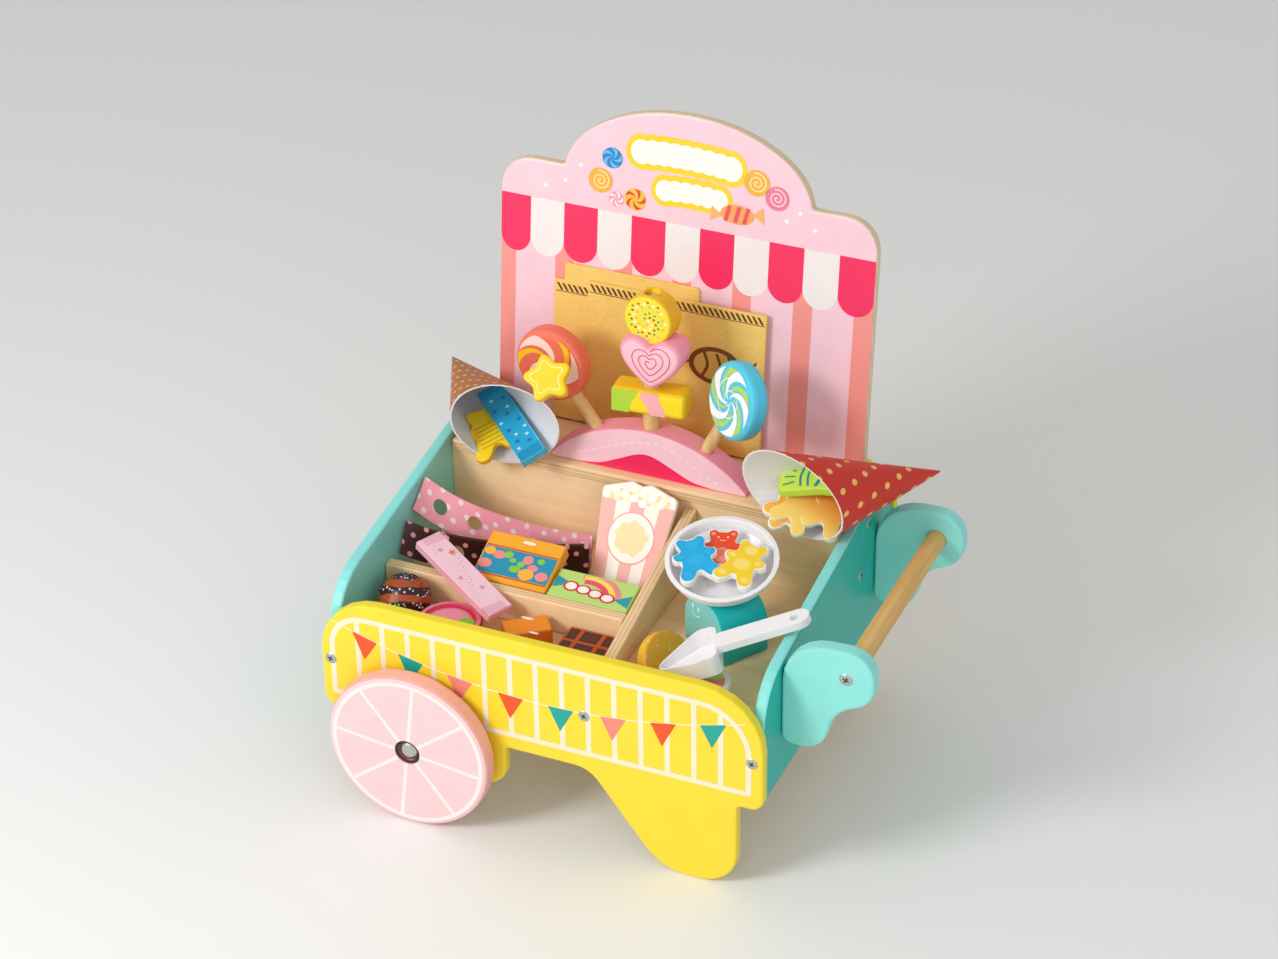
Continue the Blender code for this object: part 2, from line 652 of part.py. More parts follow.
def build_cones():
    brown = finish("brown printed paper", "B9741F", 0.6)
    red = finish("red printed paper", "D22816", 0.6)
    blue = finish("blue printed wood", "4DC3E8", 0.4)
    amber = bpy.data.materials["amber painted wood"]
    green = finish("green painted wood", "D3E66A", 0.4)
    orange = finish("orange gummy paint", "F7B535", 0.4)
    left = Cone(LEFT_MOUTH, LEFT_MOUTH_WAY, LEFT_MOUTH_RADIUS, LEFT_TIP)
    right = Cone(RIGHT_MOUTH, RIGHT_MOUTH_WAY, RIGHT_MOUTH_RADIUS, RIGHT_TIP)
    add("left_cone", left.solid(), brown, at(*LEFT_MOUTH))
    add("right_cone", right.solid(), red, at(*RIGHT_MOUTH))

    long_way = Matrix.Rotation(-math.pi / 2, 4, "X")
    length, width, thick = 64.0, 20.0, 7.0
    place = left.lying(math.radians(20), (width, width), length, 2.0)
    add("blue_gum", block(width, thick, length), blue, place @ at(0, thick / 2, -length), 0.8, 1)
    bear_length = 34.5 * 1.25
    place = left.lying(math.radians(-64), (30.0, 27.0), bear_length, 4.0, 0.4)
    wafer = sheet(rounded(scaled(BEAR, 1.15), 45), 7.0)
    add("bear_wafer", wafer, amber, place @ at(0, 0, -bear_length / 2) @ long_way)

    star = []
    for k in range(5):
        for radius, shift, soft in ((21.5, 0.0, 4.0), (12.5, math.pi / 5, 3.0)):
            angle = math.tau * k / 5 + shift + math.radians(-100)
            star.append((radius * math.cos(angle), radius * math.sin(angle), soft))
    face = Vector((0.12, -0.72, 0.68)).normalized()
    place = along((-68.8, 178.8, 271.1), Vector((0, 0.68, 0.72)), face)
    upright = Matrix.Rotation(math.pi / 2, 4, "X")
    add("star_candy", sheet(rounded(star, 20), 9.0), amber, place @ upright @ at(0, 0, -4.5), 2.0)

    for name, angle, outside, lift in (("left", -31, 11.0, -0.2), ("right", 31, 11.0, -0.5), ("upper", -31, 3.0, 7.4)):
        place = right.lying(math.radians(angle), (24.0, 26.0), 37.0, outside, lift)
        gummy = sheet(rounded(scaled(BEAR, 0.95), 45), 7.0)
        add(name + "_gummy", gummy, orange, place @ at(0, 0, -18.5) @ long_way, 1.0, 1)
    place = right.lying(math.radians(4), (40.0, 40.0), 28.0, 3.0, 21.0)
    add("green_candy", block(40.0, 8.0, 28.0), green, place @ at(0, 4.0, -28.0), 1.5, 1)


def build_bags():
    kraft = finish("kraft paper", "DDB04E", 0.7)
    base = board_place()
    foot = (SHELF_TOP + GAP) / math.cos(BOARD_LEAN) + 1.0
    depth = 2.4
    back_top = 305.5
    lip = rounded(
        [
            (-102, foot, 1),
            (41.5, foot, 1),
            (41.5, back_top, 1),
            (14, back_top, 1),
            (14, back_top + 14, 3),
            (-94, back_top + 14, 3),
            (-94, back_top, 1),
            (-102, back_top, 1),
        ]
    )
    add("rear_bag", sheet(lip, depth), kraft, base @ at(0, 0, GAP), 0.5, 1)
    front = rounded([(-73.8, foot, 1), (68.6, foot, 1), (68.6, 309.5, 1), (-73.8, 309.5, 1)])
    add("front_bag", sheet(front, depth), kraft, base @ at(0, 0, 2 * GAP + depth), 0.5, 1)


def build_left_trays():
    pink = finish("pink dotted wood", "F79AA8", 0.45)
    brown = finish("chocolate dotted wood", "3A1410", 0.45)
    card = finish("popcorn card paint", "F6D9CE", 0.5)
    gold = finish("golden box paint", "F7A90F", 0.45)
    green = finish("lime box paint", "C3DC62", 0.45)
    gum = finish("pale pink box paint", "F9C3D0", 0.45)
    cocoa = finish("cocoa paint", "7A2A12", 0.4)
    crimson = finish("crimson tin paint", "DC3457", 0.35)
    orange = finish("orange box paint", "F08A12", 0.45)
    stand_on = FLOOR_TOP + GAP

    strips = (
        ("pink_strip", pink, (-157.4, 147, 184), (-102, 158, 157.5), (-31, 168, 150.8), (0.83, 0.55), (0.2, 0.98), 27),
        ("brown_strip", brown, (-157.2, 114, 166), (-104, 131, 151.0), (-29, 157, 150.4), (0.55, 0.83), (0.1, 0.99), 25.4),
    )
    for name, paint, start, middle, end, first, last, width in strips:
        stations = []
        for k in range(15):
            share = k / 14
            upper = bent(start, middle, end, share)
            blend = min(1.0, share * 2.4)
            tilt = Vector((0, *first)) * (1 - blend) + Vector((0, *last)) * blend
            stations.append((upper, upper - tilt.normalized() * width))
        strip = add(name, ribbon(stations, 3.0), paint, Matrix())
        spots = (2, 5) if name == "pink_strip" else (5, 12)
        for spot in spots:
            upper, lower = stations[spot]
            run = stations[spot + 1][0] - stations[spot - 1][0]
            through = run.cross(upper - lower)
            place = along((upper + lower) / 2, through, (1, 0, 0))
            combine(strip, add(f"{name}_hole_{spot}", rod(5.5, -20, 20, steps=20), paint, place))

    puffs = [(-30 + 60 * k / 8, 72 + (6 if 1 < k < 7 else 1) + 2.5 * (k % 2), 4) for k in range(9)]
    outline = rounded([(-23, 0, 2), (23, 0, 2), (30, 68, 2)] + puffs[::-1] + [(-30, 68, 2)], 30)
    lean = math.atan2(41, 61)
    up = (0, math.sin(lean), math.cos(lean))
    out = (0, -math.cos(lean), math.sin(lean))
    place = columns((1, 0, 0), up, out, (0.8, 147.0, stand_on + 0.2))
    add("popcorn_card", sheet(outline, 4.0), card, place, 0.8, 1)

    slope = math.radians(21.5)
    rise = (0, math.cos(slope), math.sin(slope))
    out = (0, -math.sin(slope), math.cos(slope))
    place = columns((1, 0, 0), rise, out, (-63.6, 92.4, 139.0))
    add("yellow_box", sheet([(-29.8, 0), (29.8, 0), (29.8, 43), (-29.8, 43)], 11.0), gold, place, 0.8, 1)
    slope = math.radians(13)
    rise = (0, math.cos(slope), math.sin(slope))
    out = (0, -math.sin(slope), math.cos(slope))
    place = columns((1, 0, 0), rise, out, (-1.6, 94.5, stand_on + 0.1))
    add("green_box", sheet([(-31.8, 0), (31.8, 0), (31.8, 28), (-31.8, 28)], 25.0), green, place, 0.8, 1)

    way = Vector((-0.87, 0.41, 0.276)).normalized()
    place = along((-55.4, 58.6, 140.7 + 3.5), way, (0, 0, 1))
    add("pink_gum", block(22.0, 7.0, 86.0), gum, place, 0.8, 1)
    egg = [(0, 0), (9, 0.6), (16, 5), (20, 14), (18.5, 22), (12, 28.5), (5, 31), (0, 31.5)]
    add("chocolate_egg", turned(egg, 32), cocoa, at(-132.5, 58.8, stand_on))
    tin = [(0, 0), (22.5, 0), (23.5, 1), (23.5, 11.5), (24.2, 12), (24.2, 15.4), (23, 16.6), (20, 16.6), (19.6, 15.4)]
    add("candy_tin", turned(tin + [(0, 15.4)], 40), crimson, at(-89.0, 43.5, stand_on))
    turn = Matrix.Rotation(math.atan2(0.6, 0.8), 4, "Z")
    add("caramel_box", block(34, 20, 16.5), orange, at(-34.6, 58.5, stand_on) @ turn, 0.8, 1)
    add("chocolate_bar", block(38.5, 31, 10.4), cocoa, at(10.5, 63.0, stand_on), 1.5, 1)


def build_right_tray():
    turquoise = finish("turquoise painted wood", "12BFC0", 0.4)
    white = finish("white plastic", "EFEDEF", 0.35)
    blue = finish("blue gummy paint", "05BDF0", 0.4)
    red = finish("red gummy paint", "F4510F", 0.4)
    yellow = finish("yellow gummy paint", "FAD21A", 0.4)
    sugar = finish("sugared slice paint", "E3A90F", 0.6)
    label = finish("white tub paint", "DCE0DA", 0.45)
    stand_on = FLOOR_TOP + GAP

    side = Vector((math.cos(SCALE_SPIN), math.sin(SCALE_SPIN), 0))
    inward = Vector((-side.y, side.x, 0))
    half = SCALE_WIDTH / 2
    arch = rounded([(-half, 0, 3), (half, 0, 3), (half, SCALE_HEIGHT, half), (-half, SCALE_HEIGHT, half)], 12)
    front = Vector((SCALE_X, SCALE_Y, stand_on)) + inward * SCALE_DEPTH / 2
    body = add("scale_body", sheet(arch, SCALE_DEPTH), turquoise, columns(side, (0, 0, 1), -inward, front), 1.5)
    bowl_place = along(BOWL_CENTRE, BOWL_AXIS)
    level = add("scale_top_cut", block(120, 120, 60), turquoise, bowl_place @ at(0, 0, -BOWL_DEPTH - GAP))
    combine(body, level)

    foot_radius = BOWL_RADIUS - 9
    bowl = [
        (0, -BOWL_DEPTH),
        (foot_radius, -BOWL_DEPTH),
        (BOWL_RADIUS - 3.5, -BOWL_DEPTH + 5),
        (BOWL_RADIUS - 2, -1.5),
        (BOWL_RADIUS, -1),
        (BOWL_RADIUS, 0.5),
        (BOWL_RADIUS - 3, 0.8),
        (BOWL_RADIUS - 3.8, -0.4),
        (BOWL_RADIUS - 5.4, -BOWL_DEPTH + 6),
        (foot_radius - 0.6, -BOWL_DEPTH + BOWL_WALL),
        (0, -BOWL_DEPTH + BOWL_WALL),
    ]
    add("scale_bowl", turned(bowl, 36), white, bowl_place)
    level = -BOWL_DEPTH + BOWL_WALL + GAP
    small = rounded(scaled(BEAR, 0.91), 45)
    turn = Matrix.Rotation(math.radians(6), 4, "Z")
    add("blue_bear", sheet(small, BEAR_THICK), blue, bowl_place @ at(-15.2, -8.5, level) @ turn, 1.0, 1)
    add("yellow_bear", sheet(small, BEAR_THICK), yellow, bowl_place @ at(15.0, -7.5, level) @ turn.inverted(), 1.0, 1)
    tilt = Matrix.Rotation(math.radians(38), 4, "X")
    standing = bowl_place @ at(0, 12.0, level + 1.4) @ tilt @ at(0, 15.5, 0)
    add("red_bear", sheet(small, BEAR_THICK), red, standing, 1.0, 1)

    arc = [(24 * math.cos(math.pi * k / 16), 24 * math.sin(math.pi * k / 16)) for k in range(17)]
    run = Vector((0.25, 0.968, 0))
    up = Vector((-0.54, 0.14, 0.83))
    up = (up - run * run.dot(up)).normalized()
    place = columns(run, up, run.cross(up), (65.0, 72.0, stand_on - 0.6))
    add("sugared_slice", sheet(arc, 9.0), sugar, place, 1.5)
    tub = [(0, 0), (22.5, 0), (23.5, 1), (24, 13), (24.6, 13.6), (24.6, 15.5), (23.5, 16.5), (0, 16.5)]
    add("candy_tub", turned(tub, 40), label, at(103.6, 42.0, stand_on))

    away = Vector((0.865, 0.378, 0.33)).normalized()
    across = Vector((0, 0, 1)).cross(away).normalized()
    normal = away.cross(across)
    place = columns(away, across, normal, (114.0, 54.0, 169.0))
    wall, depth, back_half = 1.6, 15.0, 19.0
    outline = [(0, -back_half, 6), (0, back_half, 6), (-16, back_half, 12), (-52, 0, 6), (-16, -back_half, 12)]
    inner_half = back_half - wall
    inside = [(-wall, -inner_half, 5), (-wall, inner_half, 5), (-15.5, inner_half, 11), (-49, 0, 4), (-15.5, -inner_half, 11)]
    scoop = add("scoop", sheet(rounded(outline, 18), depth, -depth), white, place)
    combine(scoop, add("scoop_inside", sheet(rounded(inside, 18), 40, wall - depth), white, place))
    slant = columns((math.cos(0.24), 0, math.sin(0.24)), (0, 1, 0), (-math.sin(0.24), 0, math.cos(0.24)), (-12, 0, 0))
    combine(scoop, add("scoop_slant", block(120, 80, 40), white, place @ slant @ at(-60, 0, 0)))
    grip = rounded([(-1.0, -8.5, 0), (68, -8.5, 8.4), (68, 8.5, 8.4), (-1.0, 8.5, 0)], 18)
    combine(scoop, add("scoop_grip", sheet(grip, 5.5, -5.5), white, place), "UNION")
    combine(scoop, add("scoop_hole", rod(3.2, -20, 20, steps=16), white, place @ at(57, 0, 0)))


def stand_on_origin():
    """Moves the cart so that the middle of its bounding box's base is the world's origin."""
    bpy.context.view_layer.update()
    graph = bpy.context.evaluated_depsgraph_get()
    low = Vector((math.inf,) * 3)
    high = Vector((-math.inf,) * 3)
    for obj in bpy.data.objects:
        if obj.type != "MESH" or obj.hide_render:
            continue
        seen = obj.evaluated_get(graph)
        for vertex in seen.to_mesh().vertices:
            point = seen.matrix_world @ vertex.co
            low = Vector(map(min, low, point))
            high = Vector(map(max, high, point))
        seen.to_mesh_clear()
    CART.location = (-(low.x + high.x) / 2, -(low.y + high.y) / 2, -low.z)


clear_scene()
build_crate()
build_board()
build_wheels()
build_handle()
build_stand()
build_lollies()
build_skewer()
build_cones()
build_bags()
build_left_trays()
build_right_tray()
stand_on_origin()
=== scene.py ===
import functools
import json
import math

import bpy
import numpy as np
from mathutils import Matrix, Vector
from mathutils.geometry import delaunay_2d_cdt


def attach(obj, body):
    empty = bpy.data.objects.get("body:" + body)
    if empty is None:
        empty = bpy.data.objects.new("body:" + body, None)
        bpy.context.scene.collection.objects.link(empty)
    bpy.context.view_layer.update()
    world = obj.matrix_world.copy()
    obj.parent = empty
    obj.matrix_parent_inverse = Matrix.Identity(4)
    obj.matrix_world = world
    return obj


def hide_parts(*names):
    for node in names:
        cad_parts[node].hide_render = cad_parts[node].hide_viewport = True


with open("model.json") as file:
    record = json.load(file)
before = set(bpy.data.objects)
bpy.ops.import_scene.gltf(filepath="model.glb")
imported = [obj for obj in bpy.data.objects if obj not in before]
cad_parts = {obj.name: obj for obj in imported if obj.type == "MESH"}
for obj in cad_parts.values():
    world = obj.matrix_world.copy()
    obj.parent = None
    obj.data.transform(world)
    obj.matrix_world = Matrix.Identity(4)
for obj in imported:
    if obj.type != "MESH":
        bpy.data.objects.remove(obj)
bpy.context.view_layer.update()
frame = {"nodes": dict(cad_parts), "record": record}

MM = 0.001
# The cart's own zero (middle of the front panel's face, on the floor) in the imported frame, in mm
CART_ZERO = np.array([-19.1284, -137.5, 0.0])
FRONT, REAR = (0.0, -1.0, 0.0), (0.0, 1.0, 0.0)
RIGHT, LEFT = (1.0, 0.0, 0.0), (-1.0, 0.0, 0.0)
TOP = (0.0, 0.0, 1.0)
# The way that each node's printed face looks, for those that don't look to the front
FACES = {
    "rear_panel": REAR, "rear_wheel": REAR, "rear_handle_bracket": REAR, "star_candy": (0.12, -0.72, 0.68),
    "popcorn_card": (0, -0.83, 0.558), "yellow_box": (0, -0.37, 0.93), "green_box": (0, -0.22, 0.97),
    "pink_gum": (0, -0.1, 0.99), "candy_tin": TOP, "caramel_box": TOP, "chocolate_bar": TOP, "candy_tub": TOP,
}
BODY_OF = {node: body for body, nodes in frame["record"]["behaviour"]["bodies"].items() for node in nodes}

BOARD_PINK = "F8CDD8"
PANEL_YELLOW = "FBDD30"
PRINT_CREAM = "F5EBCB"
FLAG_COLOURS = ("EC5412", "04A597", "F28A7A")


def linear(code):
    """Turns an sRGB hex code into a linear colour with full alpha."""
    parts = np.array([int(code[k : k + 2], 16) / 255 for k in (0, 2, 4)])
    low = parts / 12.92
    high = ((parts + 0.055) / 1.055) ** 2.4
    return (*np.where(parts <= 0.04045, low, high).tolist(), 1.0)


def put(tree, kind, *values, out=None, **more):
    """Adds one shader node, and gives back the first socket in use that leaves it, or the one named out.

    A second word in kind is the node's operation, or a Mix's data type. Values fill the inputs in use, in order.
    More names an input with a capital letter and a setting without one. A hex code becomes a linear colour."""
    kind, _, choice = kind.partition(" ")
    made = tree.nodes.new("ShaderNode" + kind)
    if choice:
        setattr(made, "data_type" if kind == "Mix" else "operation", choice)
    given = list(zip([socket for socket in made.inputs if socket.enabled], values))
    for key, value in more.items():
        if key.islower():
            setattr(made, key, value)
        else:
            given.append((made.inputs[key], value))
    for socket, value in given:
        if isinstance(value, bpy.types.NodeSocket):
            tree.links.new(value, socket)
        else:
            socket.default_value = linear(value) if isinstance(value, str) else value
    return made.outputs[out] if out else next(socket for socket in made.outputs if socket.enabled)


def begin(name):
    """Starts a material. Gives put for its tree, the object's own coordinates in millimetres, and its finish."""
    material = bpy.data.materials.new(name)
    material.use_nodes = True
    add = functools.partial(put, material.node_tree)
    spot = add("VectorMath SCALE", add("TexCoord", out="Object"), 1 / MM)
    return add, spot, functools.partial(finish_surface, material, add, spot)


def unit(vectors):
    """A vector, or each row of an array, at length one."""
    vectors = np.array(vectors, float)
    return vectors / np.linalg.norm(vectors, axis=-1, keepdims=True)


def facing(add, way, low, high):
    """1 where the surface looks along way, 0 where it looks elsewhere: the normal times way, spread over a range."""
    lean = add("VectorMath DOT_PRODUCT", add("TexCoord", out="Normal"), unit(way).tolist())
    return add("MapRange", lean, low, high)


def grain(add, spot, along, slow, fast, **more):
    """Noise drawn out along the grain: slow turns per millimetre along it, and fast turns across it."""
    drawn = add("Mapping", Vector=spot, Scale=tuple(slow if value else fast for value in along))
    return add("TexNoise", Vector=drawn, Scale=1.0, **more)


def finish_surface(material, add, spot, colour, height, rough, depth, mottle, metallic=0.0):
    """Joins a colour with slow mottling, a bump of a few hundredths of a millimetre and an uneven gloss."""
    cloud = add("TexNoise", Vector=spot, Scale=1 / 18.0, Detail=3.0)
    value = add("MapRange", cloud, 0.3, 0.7, 1.0 - mottle, 1.0 + mottle / 3)
    shader = material.node_tree.nodes["Principled BSDF"]
    shader.inputs["Metallic"].default_value = metallic
    for key, socket in (
        ("Base Color", add("HueSaturation", Color=colour, Value=value)),
        ("Roughness", add("MapRange", height, 0.25, 0.75, rough - 0.06, rough + 0.07)),
        ("Normal", add("Bump", Height=height, Strength=0.6, Distance=depth * MM)),
    ):
        material.node_tree.links.new(socket, shader.inputs[key])
    return material


def painted_wood(name, face, edge=None, way=FRONT, along=(1, 0, 0), rough=0.4, low=0.8, high=0.92):
    """Acrylic paint rolled on sanded plywood or beech: satin, and the fibres lift it into faint long ridges.

    The fibres are noise that is 40 times longer along the grain than across it, about 0.8 mm apart. Where an
    edge colour is given, it shows wherever the surface doesn't look along way."""
    add, spot, finish = begin(name)
    fibres = grain(add, spot, along, 0.03, 1.2, Detail=2.0)
    colour = face
    if edge:
        colour = add("Mix RGBA", facing(add, way, low, high), edge, face)
    return finish(colour, fibres, rough, 0.05, 0.035)


def bare_wood(name, light, dark, along, through=None, rough=0.55, paint=None):
    """Lacquered birch plywood or beech: long pale and darker streaks, with fine pores along the grain.

    The streaks are noise stretched along the grain, 5 mm wide, and the pores the same at 0.5 mm. On cut edges,
    where through gives the board's thickness, veneers of 1.5 mm show as light and dark lines. With a paint,
    the front face is painted and the other faces stay bare."""
    add, spot, finish = begin(name)
    streaks = grain(add, spot, along, 0.009, 0.2, Detail=4.0, Distortion=0.6)
    pores = grain(add, spot, along, 0.05, 2.0, Detail=2.0)
    share = add("MapRange", streaks, 0.35, 0.68)
    colour = add("Mix RGBA", share, light, dark)
    speck = add("MapRange", pores, 0.6, 0.72, 0.0, 0.35)
    colour = add("Mix RGBA", speck, colour, dark)
    if through:
        depth = add("VectorMath DOT_PRODUCT", spot, through)
        veneer_pair = 3.0
        wave = add("Math SINE", add("Math MULTIPLY", depth, math.tau / veneer_pair))
        veneer = add("MapRange", wave, -0.2, 0.3, 0.0, 0.4)
        back = tuple(-value for value in through)
        flat = add("Math MAXIMUM", facing(add, through, 0.6, 0.8), facing(add, back, 0.6, 0.8))
        edge = add("Math SUBTRACT", 1.0, flat)
        lines = add("Math MULTIPLY", edge, veneer)
        colour = add("Mix RGBA", lines, colour, "B98A55")
    if paint:
        colour = add("Mix RGBA", facing(add, FRONT, 0.8, 0.9), colour, paint)
    return finish(colour, pores, rough, 0.05, 0.04)


def moulded_plastic(name, code, rough=0.3):
    """Injection-moulded ABS or nylon: even colour, soft highlights and a faint orange peel of 5 mm."""
    add, spot, finish = begin(name)
    peel = add("TexNoise", Vector=spot, Scale=0.13, Detail=1.0)
    return finish(code, peel, rough, 0.003, 0.02)


def zinc_steel(name):
    """Zinc-plated steel: bright grey metal with a slightly greenish cloud and fine turned lines."""
    add, spot, finish = begin(name)
    lines = add("TexNoise", Vector=spot, Scale=2.5, Detail=2.0)
    colour = add("Mix RGBA", lines, "A8B0A6", "D5DAD2")
    return finish(colour, lines, 0.34, 0.02, 0.05, metallic=1.0)


def dotted_strip(name, ground, dot, radius, pitch=10.5):
    """Thin bent plywood printed with loose rows of dots.

    Each dot is the inside of a circle round one point of a slightly shaken square grid, pitch mm apart. The
    grid lies on the strip's own UV map, which counts centimetres along the strip and down it."""
    add, spot, finish = begin(name)
    flat = add("VectorMath SCALE", add("UVMap", uv_map="lay"), 10.0)
    turned = add("Mapping", Vector=flat, Rotation=(0.0, 0.0, math.radians(38)))
    grid = {"Vector": turned, "Scale": 1 / pitch, "Randomness": 0.22}
    near = add("TexVoronoi", out="Distance", voronoi_dimensions="2D", **grid)
    inside = add("MapRange", near, (radius - 0.2) / pitch, (radius + 0.2) / pitch, 1.0, 0.0)
    colour = add("Mix RGBA", inside, ground, dot)
    specks = add("TexNoise", Vector=spot, Scale=0.8, Detail=2.0)
    return finish(colour, specks, 0.42, 0.03, 0.03)


def kraft_paper(name):
    """Brown kraft paper: matt, with short pale and dark fibres a few millimetres long and soft creases."""
    add, spot, finish = begin(name)
    drawn = add("Mapping", Vector=spot, Scale=(0.25, 1.0, 1.4))
    fibres = add("TexNoise", Vector=drawn, Scale=1.0, Detail=5.0, Roughness=0.7)
    share = add("MapRange", fibres, 0.35, 0.65)
    colour = add("Mix RGBA", share, "EEC35A", "F7D67C")
    return finish(colour, fibres, 0.68, 0.05, 0.04)


def cone_paper(name, tip, mouth, ground, mark, lining, pitch, mark_size, spin):
    """Printed card rolled into a cone: marks outside, bare white lining inside.

    The pattern is drawn on the unrolled sheet: a point's distance from the tip is its radius there, and its
    turn about the cone's axis times the sine of half the opening is its angle. A mark is the inside of an
    ellipse round one point of a square grid on that sheet."""
    axis = unit(np.subtract(mouth, tip))
    side = unit(np.cross(axis, TOP))
    arms = [arm.tolist() for arm in (side, np.cross(side, axis), axis)]
    add, spot, finish = begin(name)
    ray = add("VectorMath SUBTRACT", spot, (tip + CART_ZERO).tolist())
    far, high, deep = (add("VectorMath DOT_PRODUCT", ray, arm) for arm in arms)
    opening_sine = 0.3
    turn = add("Math MULTIPLY", add("Math ARCTAN2", far, high), opening_sine)
    slant = add("VectorMath LENGTH", ray)
    sheet = add("CombineXYZ", *(add("Math MULTIPLY", slant, add("Math " + part, turn)) for part in ("COSINE", "SINE")))
    turned = add("Mapping", Vector=sheet, Rotation=(0.0, 0.0, spin))
    grid = {"Vector": turned, "Scale": 1 / pitch, "Randomness": 0.0}
    centre = add("TexVoronoi", out="Position", voronoi_dimensions="2D", **grid)
    offset = add("VectorMath SUBTRACT", turned, centre)
    offset = add("Mapping", Vector=offset, Scale=(1 / mark_size[0], 1 / mark_size[1], 0.0))
    near = add("VectorMath LENGTH", offset)
    inside = add("MapRange", near, 0.92, 1.05, 1.0, 0.0)
    printed_side = add("Mix RGBA", inside, ground, mark)
    along = add("VectorMath SCALE", arms[2], deep)
    outward = add("VectorMath SUBTRACT", ray, along)
    way = add("VectorMath DOT_PRODUCT", outward, add("TexCoord", out="Normal"))
    radius = add("VectorMath LENGTH", outward)
    way = add("Math DIVIDE", way, radius)
    outside = add("MapRange", way, 0.6, 0.7)
    colour = add("Mix RGBA", outside, lining, printed_side)
    fibres = add("TexNoise", Vector=spot, Scale=0.5, Detail=4.0)
    return finish(colour, fibres, 0.5, 0.03, 0.03)


def banded_egg(name):
    """Glossy painted beech egg: glaze and icing bands that wander, with sprinkles only on the icing.

    A band is a sine of the height along a tilted direction, bent by slow noise. A sprinkle is the inside of a
    small ball round each point of a shaken 3 mm grid, in a colour picked by the point's own random value."""
    add, spot, finish = begin(name)
    bend = add("TexNoise", Vector=spot, Scale=1 / 26.0, Detail=1.0)
    bend = add("MapRange", bend, 0.0, 1.0, -9.0, 9.0)
    rise = add("VectorMath DOT_PRODUCT", spot, (-0.25, 0.55, 0.79))
    band_pitch = 13.0
    turn = add("Math MULTIPLY", add("Math ADD", rise, bend), math.tau / band_pitch)
    wave = add("Math SINE", turn)
    icing = add("MapRange", wave, -0.15, -0.05)
    base = add("Mix RGBA", icing, "A64A16", "33120C")
    seeds = {"Vector": spot, "Scale": 1 / 3.0, "Randomness": 0.7}
    near = add("TexVoronoi", out="Distance", **seeds)
    pick = add("TexVoronoi", out="Color", **seeds)
    sprinkle = add("MapRange", near, 0.27, 0.33, 1.0, 0.0)
    sprinkle = add("Math MULTIPLY", sprinkle, icing)
    bright = add("HueSaturation", Color=pick, Saturation=1.3, Value=1.5)
    bright = add("Mix RGBA", 0.35, bright, "FFF4D8")
    colour = add("Mix RGBA", sprinkle, base, bright)
    return finish(colour, near, 0.3, 0.04, 0.03)


def sugared_paint(name, ground, rind, way):
    """Amber paint with glitter grit for sugar: white grains 0.7 mm wide, and an orange rind off the face."""
    add, spot, finish = begin(name)
    near = add("TexVoronoi", Vector=spot, Scale=1 / 1.5, Randomness=1.0, out="Distance")
    patch = add("TexNoise", Vector=spot, Scale=0.16, Detail=2.0)
    reach = add("MapRange", patch, 0.4, 0.6, 0.02, 0.24)
    sugar = add("Math LESS_THAN", near, reach)
    base = add("Mix RGBA", facing(add, way, 0.6, 0.8), rind, ground)
    colour = add("Mix RGBA", sugar, base, "FFF6DE")
    return finish(colour, near, 0.5, 0.12, 0.04)


def graded_gummy(name, near_colour, shade_colour, start, way, length, top):
    """Yellow gummy on thick white-painted sides, with painted shade that turns it orange deeper inside the cone.

    The share of orange is the distance from start along way, divided by length."""
    add, spot, finish = begin(name)
    ray = add("VectorMath SUBTRACT", spot, (start + CART_ZERO).tolist())
    deep = add("VectorMath DOT_PRODUCT", ray, way)
    share = add("MapRange", deep, 0.0, length)
    # Painted shade: the gummy's own yellow turns orange the deeper it lies in the cone.
    face = add("Mix RGBA", share, near_colour, shade_colour)
    colour = add("Mix RGBA", facing(add, top, 0.7, 0.82), "F7F4EE", face)
    specks = add("TexNoise", Vector=spot, Scale=0.8, Detail=2.0)
    return finish(colour, specks, 0.38, 0.03, 0.03)


@functools.cache
def ink(code):
    """Screen-printed ink: flat colour with the faint pin-holes and uneven lay of a print on paint."""
    add, spot, finish = begin("printed_ink_" + code)
    holes = add("TexNoise", Vector=spot, Scale=1.1, Detail=3.0)
    return finish(code, holes, 0.4, 0.02, 0.03)


def triangles(node):
    """A node's triangles as corner points in mm, and the cross product of two sides of each."""
    data = frame["nodes"][node].data
    data.calc_loop_triangles()
    corners = np.empty(len(data.loop_triangles) * 3, np.int32)
    data.loop_triangles.foreach_get("vertices", corners)
    points = np.empty(len(data.vertices) * 3)
    data.vertices.foreach_get("co", points)
    spots = points.reshape(-1, 3)[corners].reshape(-1, 3, 3) / MM
    return spots, np.cross(spots[:, 1] - spots[:, 0], spots[:, 2] - spots[:, 0])


